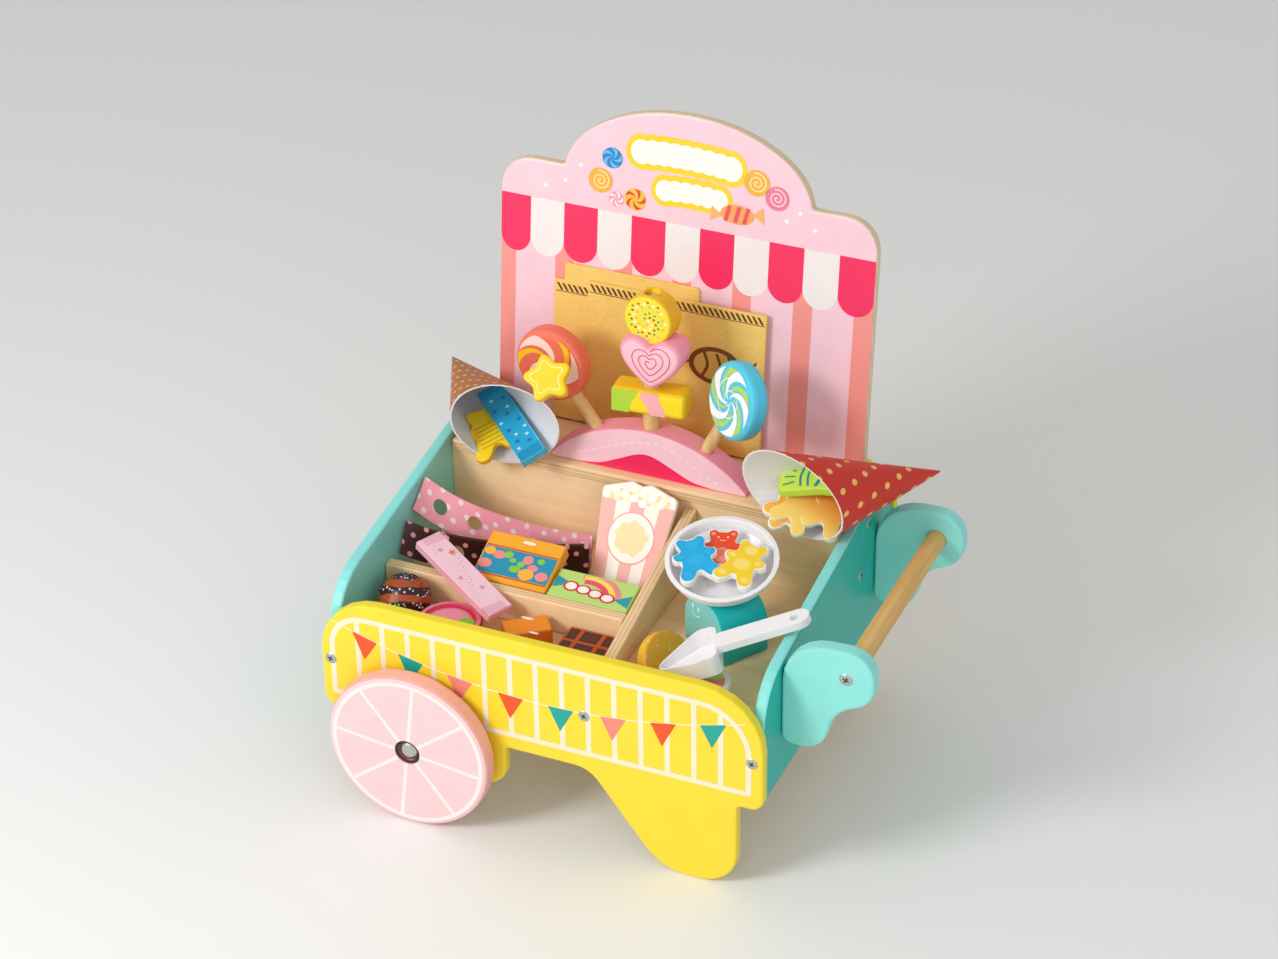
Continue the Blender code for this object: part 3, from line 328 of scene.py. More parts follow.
def flat_face(node, right=None):
    """A node's printed face: the largest flat one that looks its way. Gives origin, right, up, out and half sizes.

    Triangles are grouped by their normal and by their plane's distance from zero, and the group with the most
    area wins. The origin is the middle of the group's box, in mm. With right "long", right is the direction in
    which the face's points spread most."""
    spots, cross = triangles(node)
    area = np.linalg.norm(cross, axis=1)
    keep = area > 1e-6
    spots, cross, area = spots[keep], cross[keep], area[keep]
    normal = cross / area[:, None]
    plane = (normal * spots[:, 0]).sum(axis=1)
    key = np.column_stack([np.round(normal * 50), np.round(plane * 2)])
    member = np.unique(key, axis=0, return_inverse=True)[1].reshape(-1)
    likeness = np.clip(normal @ unit(FACES.get(node, FRONT)) - 0.5, 0, None)
    chosen = member == int(np.bincount(member, weights=area * likeness).argmax())
    out = unit((normal[chosen] * area[chosen, None]).sum(axis=0))
    patch = spots[chosen].reshape(-1, 3)
    if right == "long":
        right = np.linalg.svd(patch - patch.mean(axis=0), full_matrices=False)[2][0]
        right = right * (1.0 if right[0] >= 0 else -1.0)
    else:
        right = np.cross(TOP, out) if abs(out[2]) < 0.9 else np.array(RIGHT)
    right = unit(right - out * (right @ out))
    up = np.cross(out, right)
    flat = np.column_stack([patch @ right, patch @ up])
    low, high = flat.min(axis=0), flat.max(axis=0)
    middle = (low + high) / 2
    origin = right * middle[0] + up * middle[1] + out * (patch @ out).mean()
    return origin, right, up, out, (high - low) / 2


def border(corners):
    """The edges that only one triangle uses, as pairs of corners in that triangle's own order."""
    edges = np.concatenate([corners[:, [0, 1]], corners[:, [1, 2]], corners[:, [2, 0]]])
    pairs = set(map(tuple, edges.tolist()))
    return [(a, b) for a, b in pairs if (b, a) not in pairs]


def outline_of(node):
    """The longest border of a node's printed face as an ordered ring, in the face's own mm."""
    origin, right, up, out, _ = flat_face(node)
    spots, cross = triangles(node)
    keep = (np.abs((spots - origin) @ out) < 0.05).all(axis=1) & (cross @ out > 1e-6)
    flat = np.stack([(spots[keep] - origin) @ right, (spots[keep] - origin) @ up], axis=2)
    merged, index = np.unique(np.round(flat.reshape(-1, 2), 2), axis=0, return_inverse=True)
    step = dict(border(index.reshape(-1, 3)))
    rings = []
    while step:
        start, following = step.popitem()
        ring = [start]
        while following != start and following in step:
            ring.append(following)
            following = step.pop(following)
        rings.append(merged[ring])
    return max(rings, key=len)


def printed(node, *prints, right=None, from_cart=False):
    """Prints on a node's flat face, each as its name, rings in the face's own mm, ink and lift.

    With from_cart, u and v are the cart's own x and height along the face instead of distances from its middle."""
    origin, right, up, out, _ = flat_face(node, right)
    if from_cart:
        origin = CART_ZERO + out * ((origin - CART_ZERO) @ out)
    laid((origin, right, up, out), node, *prints)


def wound(ring):
    """A ring as an array that runs counter-clockwise, so that the sum of u v' - u' v is positive."""
    ring = np.asarray(ring, float)
    after = np.roll(ring, -1, axis=0)
    return ring if (ring[:, 0] * after[:, 1] - after[:, 0] * ring[:, 1]).sum() > 0 else ring[::-1]


def laid(place, node, *prints):
    """Lays each print's rings of points (u, v) flat on a place of a node.

    A point becomes origin + u right + v up + lift out, in mm."""
    origin, right, up, out = place
    for name, shapes, code, lift in prints:
        rings = [wound(shape) for shape in shapes]
        flat = np.vstack(rings)
        spots = origin + np.outer(flat[:, 0], right) + np.outer(flat[:, 1], up) + out * lift
        ends = np.cumsum([len(r) for r in rings])
        surface(name, spots, [list(range(e - len(r), e)) for r, e in zip(rings, ends)], ink(code), node)


def placed(spot, up, out):
    """A place in the world from a spot in the cart's own mm, the way its top points and the way it faces."""
    out = unit(out)
    up = unit(up - out * (np.array(up, float) @ out))
    return np.array(spot, float) + CART_ZERO, np.cross(up, out), up, out


def slab(node, kind, ring, thickness, edge, place, material, *prints):
    """A cut-out board with rounded edges in place of a CAD node, with prints on its face.

    The ring is repeated in layers down the thickness. Near both faces each layer moves in by e (1 - cos a) and
    out by e sin a, with e the edge's radius and a from 0 to 90 degrees, along the ring's own normals."""
    origin, right, up, out = place
    ring = wound(ring)
    run = unit(np.roll(ring, -1, axis=0) - np.roll(ring, 1, axis=0))
    outward = np.column_stack([run[:, 1], -run[:, 0]])
    a = np.linspace(0, math.pi / 2, 5)
    inset = edge * (1 - np.cos(a))
    rise = edge * np.sin(a) - edge
    insets = np.concatenate([inset[::-1], inset])
    heights = np.concatenate([-thickness - rise[::-1], rise])
    flat = ring[None] - insets[:, None, None] * outward[None]
    spots = origin + flat[..., :1] * right + flat[..., 1:] * up + heights[:, None, None] * out
    faces = capped_grid(len(heights), len(ring))
    piece = surface(f"{node}_{kind}", spots, faces, material, node, smooth=True)
    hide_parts(node)
    laid(place, node, *prints)


def surface(name, spots, faces, material, node, smooth=False):
    """Makes one piece from world points in mm and lists of corners, and lets it ride on a node's body."""
    mesh = bpy.data.meshes.new(name)
    mesh.from_pydata((spots.reshape(-1, 3) * MM).tolist(), [], faces)
    mesh.materials.append(material)
    mesh.polygons.foreach_set("use_smooth", np.full(len(mesh.polygons), smooth))
    mesh.update()
    piece = bpy.data.objects.new(name, mesh)
    bpy.context.scene.collection.objects.link(piece)
    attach(piece, BODY_OF[node])
    return piece


def capped_grid(rows, columns):
    """Quads between neighbouring rings of points, with the first and the last ring closed by a face."""
    r, c = np.meshgrid(np.arange(rows - 1), np.arange(columns), indexing="ij")
    n = (c + 1) % columns
    quads = np.stack([r * columns + c, r * columns + n, (r + 1) * columns + n, (r + 1) * columns + c], axis=-1)
    caps = [list(range(columns))[::-1], list(range((rows - 1) * columns, rows * columns))]
    return quads.reshape(-1, 4).tolist() + caps


def polar(r, t, x=0.0, y=0.0):
    """Points at distances r and turns t round (x, y)."""
    return np.column_stack([x + r * np.cos(t), y + r * np.sin(t)])


def run_of(path):
    """How far along a path each of its points lies."""
    return np.concatenate([[0.0], np.cumsum(np.linalg.norm(np.diff(path, axis=0), axis=1))])


def along_run(at, run, rows):
    """Rows that belong to distances run, read off in between at other distances."""
    return np.column_stack([np.interp(at, run, column) for column in rows.T])


def box_2d(x0, y0, x1, y1):
    """A rectangle."""
    return np.array([(x0, y0), (x1, y0), (x1, y1), (x0, y1)], float)


def disc_2d(x, y, rx, ry=None, steps=28):
    """An ellipse: centre plus (rx cos t, ry sin t)."""
    t = np.linspace(0, math.tau, steps, endpoint=False)
    return np.column_stack([x + rx * np.cos(t), y + (ry or rx) * np.sin(t)])


def discs_2d(steps, *rows):
    """Ellipses from rows of x, y, rx and ry."""
    return [disc_2d(*row, steps) for row in rows]


def line_2d(points, width, closed=False):
    """A line of even width as quads: each point goes half a width along the normal of its neighbours' chord."""
    p = np.asarray(points, float)
    before, after = np.roll(p, 1, axis=0), np.roll(p, -1, axis=0)
    if not closed:
        before[0], after[-1] = p[0], p[-1]
    run = unit(after - before)
    normal = np.column_stack([-run[:, 1], run[:, 0]]) * width / 2
    left, right = p + normal, p - normal
    last = len(p) if closed else len(p) - 1
    order = [(k, (k + 1) % len(p)) for k in range(last)]
    return [np.array([left[a], right[a], right[b], left[b]]) for a, b in order]


def star_2d(x, y, outer, inner, spin=0.0, tips=5):
    """A star: radii that alternate between outer and inner at even turns."""
    t = np.arange(2 * tips) * math.pi / tips + math.pi / 2 + spin
    r = np.where(np.arange(2 * tips) % 2 == 0, outer, inner)
    return polar(r, t, x, y)


def arms_2d(count, start, width, twist, inner, outer):
    """Spiral arms at even turns: both borders of each turn by twist times r / outer as r goes from inner to outer."""
    arms = []
    for k in range(count):
        r = np.linspace(inner, outer, 24)
        turn = math.tau * k / count + start + twist * (r / outer)
        spread = width * (0.35 + 0.65 * r / outer)
        end = turn[-1] + spread[-1] * np.linspace(0, 1, 8)[1:-1]
        arms.append(np.vstack([polar(r, turn), polar(outer, end), polar(r, turn + spread)[::-1]]))
    return arms


def smooth_2d(points, steps=8, closed=False):
    """A closed or open curve through the points: each span is a cubic between neighbours (Catmull and Rom's)."""
    p = np.asarray(points, float)
    if closed:
        return smooth_2d(np.vstack([p[-2:], p, p[:3]]), steps)[2 * steps : (2 + len(p)) * steps]
    padded = np.vstack([2 * p[0] - p[1], p, 2 * p[-1] - p[-2]])
    t = np.linspace(0, 1, steps, endpoint=False)[:, None]
    rows = []
    for a, b, c, d in zip(padded[:-3], padded[1:-2], padded[2:-1], padded[3:]):
        square, cube = 2 * a - 5 * b + 4 * c - d, 3 * b - a - 3 * c + d
        rows.append(0.5 * (2 * b + (c - a) * t + square * t**2 + cube * t**3))
    return np.vstack(rows + [p[-1:]])


def mirrored_2d(half, steps=6):
    """A smooth closed outline from its right half, listed from the top of the middle line to its foot."""
    half = np.asarray(half, float)
    left = half[1:-1][::-1] * (-1, 1)
    return smooth_2d(np.vstack([half, left]), steps, closed=True)


def bear_2d(length):
    """A gummy bear seen from above, length mm tall: ears, arms and legs round a plump body."""
    half = [(0, 18.0), (3.4, 18.4), (6.4, 20.3), (9.6, 19.0), (10.2, 15.8), (9.2, 12.2), (8.8, 9.3), (11.0, 7.6),
            (14.4, 6.6), (15.2, 3.4), (13.4, 0.8), (10.6, -0.6), (10.8, -5.0), (12.8, -9.5), (14.4, -14.0),
            (12.8, -18.2), (8.2, -19.2), (4.6, -16.2), (2.2, -12.4), (0, -11.4)]
    return mirrored_2d(half) * (length / 40.0)


def dress(material, *nodes):
    """Gives CAD nodes their real finish."""
    for node in nodes:
        for slot in frame["nodes"][node].material_slots:
            slot.material = material


def dress_cart():
    """Painted boards outside, bare birch plywood inside, beech rods, zinc-plated bolts and nylon washers."""
    # The edge colour F4DC2A is painted shade: the yellow panels' top and side edges are darker than the face.
    rim = "F4DC2A"
    dress(painted_wood("painted_plywood_yellow", PANEL_YELLOW, rim), "front_panel")
    dress(painted_wood("painted_plywood_yellow_rear", PANEL_YELLOW, rim, REAR), "rear_panel")
    # The edge colour 8BE4DE is a painted highlight: the teal end panels' edges and inner face are lighter than the
    # outer face.
    teal, rim = "12B6A9", "8BE4DE"
    dress(painted_wood("painted_plywood_teal", teal, rim, RIGHT, (0, 1, 0), 0.38), "right_end_panel")
    dress(painted_wood("painted_plywood_teal_left", teal, rim, LEFT, (0, 1, 0)), "left_end_panel")
    aqua = painted_wood("painted_beech_aqua", "8FE5DD", along=(0, 0, 1), rough=0.36)
    dress(aqua, "front_handle_bracket", "rear_handle_bracket")
    dress(bare_wood("pink_painted_plywood", "F2DFBF", "ECD5B0", (0, 0, 1), (0, 1, 0), 0.42, BOARD_PINK), "back_board")
    for name, light, dark, along, through, *nodes in (
        ("beech_dowel", "E6BE76", "D3A258", (0, 1, 0), None, "handle_dowel"),
        ("beech_stick_left", "EBCB92", "D3A766", (1, 0, 1), None, "left_lolly_stick"),
        ("beech_stick_right", "EBCB92", "D3A766", (0, 0, 1), None, "right_lolly_stick", "skewer_stick"),
        ("birch_ply_riser", "FFE0B2", "FBD6A4", (1, 0, 0), (0, 1, 0), "riser_board", "cross_divider"),
        ("birch_ply_shelf", "FCDDAE", "F6D09C", (1, 0, 0), (0, 0, 1), "display_shelf", "floor_board"),
        ("birch_ply_divider", "F9DAAC", "F1CB98", (0, 1, 0), (1, 0, 0), "long_divider"),
    ):
        dress(bare_wood(name, light, dark, along, through), *nodes)
    dress(zinc_steel("zinc_plated_steel"), "front_wheel_bolt", "rear_wheel_bolt")
    dress(moulded_plastic("nylon_washer", "D8DCD8", 0.45), "front_wheel_washer", "rear_wheel_washer")


def dress_sweets():
    """Painted and printed beech for the sweets and boxes, paper for bags and cones, white plastic for the shop."""
    for name, face, edge, node, more in (
        ("painted_beech_rose", "FFCFDD", "FFA6BA", "lolly_stand", {"low": 0.9, "high": 0.97}),
        ("painted_beech_coral", "F2765C", None, "left_lolly_disc", {}),
        ("painted_beech_sky", "50CFEC", None, "right_lolly_disc", {}),
        ("painted_beech_star", "FFD91C", None, "star_candy", {}),
        ("painted_beech_nougat", "FFE21E", "F8CC0E", "nougat_block", {}),
        ("painted_beech_gumdrop", "FFE02A", "F2BC08", "gumdrop", {}),
        ("printed_beech_card", "FFF3E6", "E9D9C0", "popcorn_card", {}),
        ("printed_beech_gold", "FBAE24", "F2A016", "yellow_box", {}),
        ("printed_beech_green", "BFE27A", "A9CC52", "green_box", {}),
        ("printed_beech_pale_pink", "FBD0DC", "F3AEC0", "pink_gum", {}),
        ("painted_beech_tin", "F2809A", "DC2C54", "candy_tin", {}),
        ("printed_beech_caramel", "F49012", "D2680A", "caramel_box", {}),
        ("printed_beech_cocoa", "BE4812", "8E340E", "chocolate_bar", {}),
        ("painted_beech_tub", "EDEFEA", None, "candy_tub", {"along": (0, 0, 1)}),
    ):
        dress(painted_wood(name, face, edge, FACES.get(node, FRONT), **more), node)
    dress(kraft_paper("kraft_paper"), "front_bag", "rear_bag")
    dress(cone_paper("rolled_card_brown", (-197.4, 277.0, 208.9), (-102.7, 172.5, 228.1), "B0620F", "FFE48C", "EDE9EC",
                     11.5, (3.0, 0.85), 0.35), "left_cone")
    dress(cone_paper("rolled_card_red", (207.0, 261.5, 209.7), (128.5, 161.5, 228.7), "D3260F", "FBC668", "EFEBEA",
                     16.0, (2.9, 2.2), 0.6), "right_cone")
    # The lower gummy's orange F08A1E is painted shade deep in the cone.
    dress(graded_gummy("printed_beech_lower_gummy_painted_shade", "FFD04A", "F08A1E", (108.0, 140.0, 205.0), (0.61, 0.777, -0.148),
                       62.0, (0.247, -0.547, 0.8)), "left_gummy")
    dress(banded_egg("painted_beech_egg"), "chocolate_egg")
    dress(moulded_plastic("moulded_abs_white", "F6F4F6"), "scale_bowl", "scoop")
    dress(sugared_paint("sugared_paint", "F6C226", "EFAE1C", (-0.8, 0.2, 0.55)), "sugared_slice")


def panel_print(node, prefix):
    """The crate print: a rounded frame with upright bars, and bunting on a sagging string.

    The string is the parabola v = 119.9 + 0.00108 (u - 3)^2. The rear panel's print is mirrored."""
    x0, x1, z0, z1, left_round, right_round, rail_width = -161.6, 160.2, 86.4, 154.5, 27.0, 37.0, 4.2
    low, sag, lowest = 119.9, 0.00108, 3.0
    t = np.linspace(0, math.pi / 2, 12)
    right_top = polar(right_round, math.pi / 2 - t, x1 - right_round, z1 - right_round)
    left_top = polar(left_round, math.pi - t, x0 + left_round, z1 - left_round)
    foot = [(x1, z0 + 3.0), (x1, z0), (x1 - 3.0, z0), (x0 + 3.0, z0), (x0, z0), (x0, z0 + 3.0)]
    rail = line_2d(np.vstack([left_top, right_top, foot]), rail_width, closed=True)
    bars, bar_half, pitch, middle = [], 2.0, 20.0, 8.03
    for k in range(1, 16):
        x = (k - middle) * pitch
        dips = [size - math.sqrt(size**2 - max(size - reach, 0.0) ** 2)
                for size, reach in ((left_round, x - x0), (right_round, x1 - x))]
        bars.append(box_2d(x - bar_half, z0, x + bar_half, z1 - sum(dips)))
    flip = np.array([1.0 if node == "front_panel" else -1.0, 1.0])
    x = np.linspace(-160.0, 158.0, 60)
    string = np.column_stack([x, low + sag * (x - lowest) ** 2]) * flip
    starts = np.array([-144.7, -108.5, -70.1, -30.2, 8.6, 48.6, 86.6, 124.1])
    bunting, flag_width, flag_drop = [], 19.6, 20.0
    for k, code in enumerate(FLAG_COLOURS):
        flags = []
        for left in starts[k::3]:
            ends = left + np.array([0.0, flag_width])
            tops = low + sag * (ends - lowest) ** 2
            tip = (ends.mean() - 1.0, tops.mean() - flag_drop)
            flags.append(np.array([(ends[0], tops[0]), (ends[1], tops[1]), tip]) * flip)
        bunting.append((f"{prefix}bunting_flags_{k}", flags, code, 0.2))
    printed(
        node,
        (prefix + "crate_bars", [bar * flip for bar in bars], PRINT_CREAM, 0.1),
        (prefix + "crate_rail", [quad * flip for quad in rail], PRINT_CREAM, 0.13),
        (prefix + "bunting_string", line_2d(string, 0.9), "FFF6DC", 0.16),
        *bunting,
        from_cart=True,
    )


def wheel_paint(name, node):
    """Pink paint on a beech disc, with a white rim ring and eight white spokes printed on the outer face.

    Round the hub, r is the distance and t the turn. The ring is where r is within rim_half of rim_radius. A
    spoke is where r sin(t') is under spoke_half, with t' the turn from the nearest of eight even directions."""
    origin, right, up, out, _ = flat_face(node)
    rim_radius, rim_half, spoke_end, spoke_half, blur = 58.2, 1.5, 57.5, 1.35, 0.1
    first_spoke, between = math.radians(7.0), math.radians(22.5)
    add, spot, finish = begin(name)
    arm = add("VectorMath SUBTRACT", spot, origin.tolist())
    x, y = (add("VectorMath DOT_PRODUCT", arm, way.tolist()) for way in (right, up))
    r = add("VectorMath LENGTH", add("CombineXYZ", x, y))
    t = add("Math ADD", add("Math ARCTAN2", y, x), first_spoke)
    off = add("Math MULTIPLY", r, add("Math SINE", add("Math PINGPONG", t, between)))
    spoke = add("MapRange", off, spoke_half - blur, spoke_half + blur, 1.0, 0.0)
    spoke = add("Math MULTIPLY", spoke, add("Math LESS_THAN", r, spoke_end))
    rim = add("Math COMPARE", r, rim_radius, rim_half)
    mark = add("Math MAXIMUM", spoke, rim)
    face = facing(add, out, 0.8, 0.92)
    mark = add("Math MULTIPLY", mark, face)
    # The sides' darker salmon F4B2AB is painted shade; F3CCCE is the face's own pink.
    colour = add("Mix RGBA", face, "F4B2AB", "F3CCCE")
    colour = add("Mix RGBA", mark, colour, "F1E9E3")
    fibres = grain(add, spot, (1, 0, 0), 0.03, 1.2, Detail=2.0)
    dress(finish(colour, fibres, 0.38, 0.05, 0.03), node)
    # A dark ring of painted shadow in the hub's counterbore, round the bolt head, 1.2 mm below the face.
    ring = line_2d(disc_2d(0, 0, 8.75, steps=40), 2.3, closed=True)
    printed(node, (node + "_rubber_ring", ring, "1C1C1A", -1.2))


def screw(name, spot, way, radius=4.4):
    """A zinc countersunk screw with a cross recess: a low turned dome, and a dark cross of painted shade in place of
    the recess, turned by 25 degrees.
    """
    profile = np.array([(radius, -0.6), (radius, 0.25), (radius - 0.5, 0.6), (radius * 0.55, 0.85), (0.4, 0.9)])
    steps, turn = 28, math.radians(25)
    origin, out = np.array(spot) + CART_ZERO, unit(way)
    side = unit(np.cross(out, TOP))
    above = np.cross(side, out)
    t = np.linspace(0, math.tau, steps, endpoint=False)
    ring = np.outer(np.cos(t), side) - np.outer(np.sin(t), above)
    spots = origin + profile[:, 0, None, None] * ring[None] + profile[:, 1, None, None] * out
    surface(name, spots, capped_grid(len(profile), steps), STEEL, "front_panel")
    first = side * math.cos(turn) + above * math.sin(turn)
    second = above * math.cos(turn) - side * math.sin(turn)
    long, thin = radius * 0.5, radius * 0.13
    cross = np.array([(long, thin), (thin, thin), (thin, long), (-thin, long), (-thin, thin), (-long, thin),
                      (-long, -thin), (-thin, -thin), (-thin, -long), (thin, -long), (thin, -thin), (long, -thin)])
    # The dark cross is painted shade where the cross recess lies, laid flat just above the dome.
    spots = origin + np.outer(cross[:, 0], first) + np.outer(cross[:, 1], second) + out * 0.95
    surface(name + "_recess", spots, [list(range(12))[::-1]], ink("2E3230"), "front_panel")


def cart_screws():
    """Three screws in each long panel, two in each end, and one at either end of the handle."""
    for k, (x, z) in enumerate(((-163.6, 114.4), (162.6, 113.4), (36.2, 118.8))):
        screw(f"front_screw_{k}", (x, 0.0, z), FRONT)
        screw(f"rear_screw_{k}", (x, 275.0, z), REAR)
    for k, (y, z) in enumerate(((214.0, 183.0), (199.0, 147.4))):
        screw(f"right_screw_{k}", (168.2, y, z), RIGHT)
        screw(f"left_screw_{k}", (-168.2, y, z), LEFT)
    for end, way in (("front", FRONT), ("rear", REAR)):
        face = flat_face(end + "_handle_bracket")[0] - CART_ZERO
        screw(end + "_handle_screw", (215.4, face[1], 172.4), way, 4.8)


def sloped(node, *prints):
    """Prints on the leaning back board or a bag, with heights measured up the slope from the floor.

    The board's face passes over the floor at its own y, so a point s up the slope lies s minus the part of
    the way back that the face's up axis already counts."""
    moved = [(name, [shape + (0, BOARD_SHIFT) for shape in shapes], code, lift) for name, shapes, code, lift in prints]
    printed(node, *moved, from_cart=True)


def board_print():
    """Striped wall, scalloped awning and a bare sign with sweets round it."""
    stripe_half, wall_half, hem, drop, ridge = 7.4, 147.2, 334.5, 14.0, 366.0
    stripes = [box_2d(max(x - stripe_half, -wall_half), 125.0, min(x + stripe_half, wall_half), 345.0)
               for x in (-142.6, -95.5, -48.3, -1.0, 46.2, 93.8, 140.4)]
    borders = [-147.4] + [-150.5 + 27.04 * k for k in range(1, 11)] + [147.4]
    scallops = []
    t = np.linspace(0, math.pi, 16)
    for left, right in zip(borders[:-1], borders[1:]):
        middle, half = (left + right) / 2, (right - left) / 2
        arc = np.column_stack([middle - half * np.cos(t), hem - drop * np.sin(t)])
        scallops.append(np.vstack([[(right, ridge), (left, ridge)], arc]))
    signs = []
    upper = [(x, 418.5 - 0.0016 * (x + 5) ** 2) for x in np.linspace(-36, 34, 9)]
    lower = [(x, 391.5 - 0.003 * (x - 4) ** 2) for x in np.linspace(-17, 25, 6)]
    for row, spots, cloud, label, lift in (("sign_", upper, (12.4, 14.0), (8.6, 9.6), 0.1),
                                           ("sign_low_", lower, (11.0, 12.4), (7.4, 8.2), 0.16)):
        for k, (x, s) in enumerate(spots):
            rise = lift + 0.006 * k
            signs.append((f"{row}cloud_{k}", [disc_2d(x, s, *cloud)], "F8D321", rise))
            signs.append((f"{row}label_{k}", [disc_2d(x, s, *label)], "FFF9EC", rise + 0.12))
    for k, (x, s, r, ground, swirl, rolled) in enumerate((
        (-59, 408, 8.0, "1C86CE", "6CC2F0", False), (-68, 389, 9.6, "F0B23A", "FCE2A6", True),
        (-55, 376.5, 6.0, "F2A0B0", "FFEFF2", False), (-40, 379, 8.6, "F2C23C", "E0343C", False),
        (54, 409, 10.0, "F0B43A", "FCE6B0", True), (70, 400, 9.2, "EE7C96", "FFD8E0", True))):
        arms = [arm + (x, s) for arm in arms_2d(5, 0.0, 0.62, 1.1, 1.0, r * 0.93)]
        if rolled:
            t = np.linspace(0.5, 2.3 * math.tau, 60)
            arms = line_2d(polar(t * r * 0.055, t, x, s), 1.0)
        signs.append((f"sign_sweet_{k}", [disc_2d(x, s, r)], ground, 0.34))
        signs.append((f"sign_swirl_{k}", arms, swirl, 0.4))
    ends = [np.array([(28, 380), (20, 386), (19, 374)]), np.array([(52, 384), (60, 391), (61, 378)])]
    bands = [np.array([(x, 376), (x + 3, 375.5), (x + 6, 388), (x + 3, 388.5)]) for x in (29.5, 37.0, 44.0)]
    spots = ((-96, 384), (-112, 377), (-84, 398), (88, 392), (100, 381), (78, 384))
    sloped(
        "back_board",
        ("board_stripes", stripes, "F5978E", 0.08),
        ("awning_pink", scallops[0::2], "F4245C", 0.16),
        ("awning_white", scallops[1::2], "F1E8E5", 0.16),
        *signs,
        ("sign_wrapper_ends", ends, "F6B26B", 0.34),
        ("sign_wrapper", [disc_2d(40, 382, 13, 7.5)], "F2A65A", 0.36),
        ("sign_wrapper_bands", bands, "E8505A", 0.42),
        ("sign_stars", [star_2d(x, s, 2.4, 1.0) for x, s in spots], "FFFFFF", 0.12),
    )


def bag_print():
    """Dark brown slanting dashes along the mouth of each paper bag, and a plain sweet in place of the words."""
    for node, left, right, top in (("front_bag", -73.0, 68.0, 308.5), ("rear_bag", -101.0, 41.0, 303.5)):
        dashes = [np.array([(x, top - 6.5), (x + 2.1, top - 6.5), (x - 1.6, top - 0.8), (x - 3.7, top - 0.8)])
                  for x in np.arange(left + 4.5, right - 1.0, 4.3)]
        rule = [box_2d(left + 0.4, top - 7.6, right - 0.4, top - 7.0)]
        sloped(node, (node + "_dashes", dashes, "5E3412", 0.1), (node + "_rule", rule, "5E3412", 0.1))
    dark = "7A4517"
    bands = [quad for x in (24, 34, 43) for quad in line_2d(smooth_2d([(x - 4, 252), (x, 262), (x - 3, 272)]), 2.4)]
    ends = [np.array([(10, 262), (-4, 272), (-1, 262), (-4, 252)]),
            np.array([(50, 262), (63, 272), (60, 262), (63, 252)])]
    sloped(
        "front_bag",
        ("bag_sweet", [disc_2d(30, 262, 21, 15, 40)], dark, 0.1),
        ("bag_sweet_inner", [disc_2d(30, 262, 17, 11.5, 40)], "E0B65F", 0.16),
        ("bag_sweet_bands", bands, dark, 0.2),
        ("bag_sweet_ends", ends, dark, 0.14),
    )


def stand_print():
    """A hot-pink wave along the foot of the lollipop stand and a broken white stitch line above it."""
    rise = 189.9
    wave = smooth_2d([(-57, 0.4), (-39.5, 3.2), (-23.2, 10.5), (-8.6, 17.2), (2.8, 17.2), (17.5, 10.7), (33.8, 3.2),
                      (52, 0.4)])
    ring = np.vstack([wave, [(52, 0.3), (-57, 0.3)]]) + (0, rise)
    path = smooth_2d([(-71, 4.0), (-51, 10.5), (-30, 19.5), (-10, 27.0), (9.4, 28.6), (25.7, 21.8), (42, 11.8),
                      (60, 4.0)], 16)
    run, stitch, pitch = run_of(path), 3.8, 6.6
    stitches = []
    for start in np.arange(0.0, run[-1] - 4.5, pitch):
        stitches += line_2d(along_run(np.linspace(start, start + stitch, 4), run, path) + (0, rise), 0.9)
    printed("lolly_stand", ("stand_wave", [ring], "F4225F", 0.1), ("stand_stitches", stitches, "FFF4F6", 0.14),
            from_cart=True)


def stand_sweet_prints():
    """Swirls on the lollipops, wedges on the nougat, sprinkles on the gumdrop and an inner line on the star."""
    printed("left_lolly_disc", ("left_lolly_cream_swirl", arms_2d(3, 0.3, 0.85, 1.7, 2.0, 26.0), "FFE3D6", 0.1),
            ("left_lolly_yellow_swirl", arms_2d(3, 1.25, 0.42, 1.7, 2.0, 26.0), "FFCB1A", 0.12))
    t = np.linspace(0.4, 3.4 * math.pi, 70)
    printed("right_lolly_disc", ("right_lolly_white_swirl", arms_2d(5, 0.2, 0.62, -1.9, 1.5, 25.5), "FCFCFF", 0.12),
            ("right_lolly_lime_swirl", arms_2d(5, 0.83, 0.42, -1.9, 5.0, 25.0), "B9DE62", 0.1),
            ("right_lolly_spiral", line_2d(polar(1.4 + 1.45 * t, -t), 0.7), "FFFFFF", 0.16))
    lime = np.vstack([[(-27.5, 9.0)], smooth_2d([(-8, 9.0), (-9.5, 4), (-13, -2), (-14, -9.0)]), [(-27.5, -9.0)]])
    left = smooth_2d([(-6, 9.0), (-5, 4), (-1, -2), (2, -9.0)])
    right = smooth_2d([(8, 9.0), (9, 4), (12, -2), (14, -9.0)])
    printed("nougat_block", ("nougat_lime", [lime], "B4DC3C", 0.1),
            ("nougat_pink", [np.vstack([left, right[::-1]])], "FDB4B8", 0.1))
    # Sprinkles lie like a sunflower's seeds: each turned by the golden angle, at the square root of its number
    count, golden = 60, 2.39996
    k = np.arange(count)
    spots = polar(15.6 * np.sqrt((k + 0.5) / count), k * golden)
    printed("gumdrop", *[(f"gumdrop_sprinkles_{at}", [disc_2d(x, y, 1.1, 0.9, 10) for x, y in spots[at::5]], code, 0.1)
                         for at, code in enumerate(("FFFFFF", "12A08C", "F5A08A", "A8481C", "C8E070"))])
    ring = outline_of("star_candy")
    middle = (ring.min(axis=0) + ring.max(axis=0)) / 2
    inner = middle + (ring - middle) * 0.8
    printed("star_candy", ("star_outline", line_2d(inner, 0.9, closed=True), "FFF29A", 0.1))


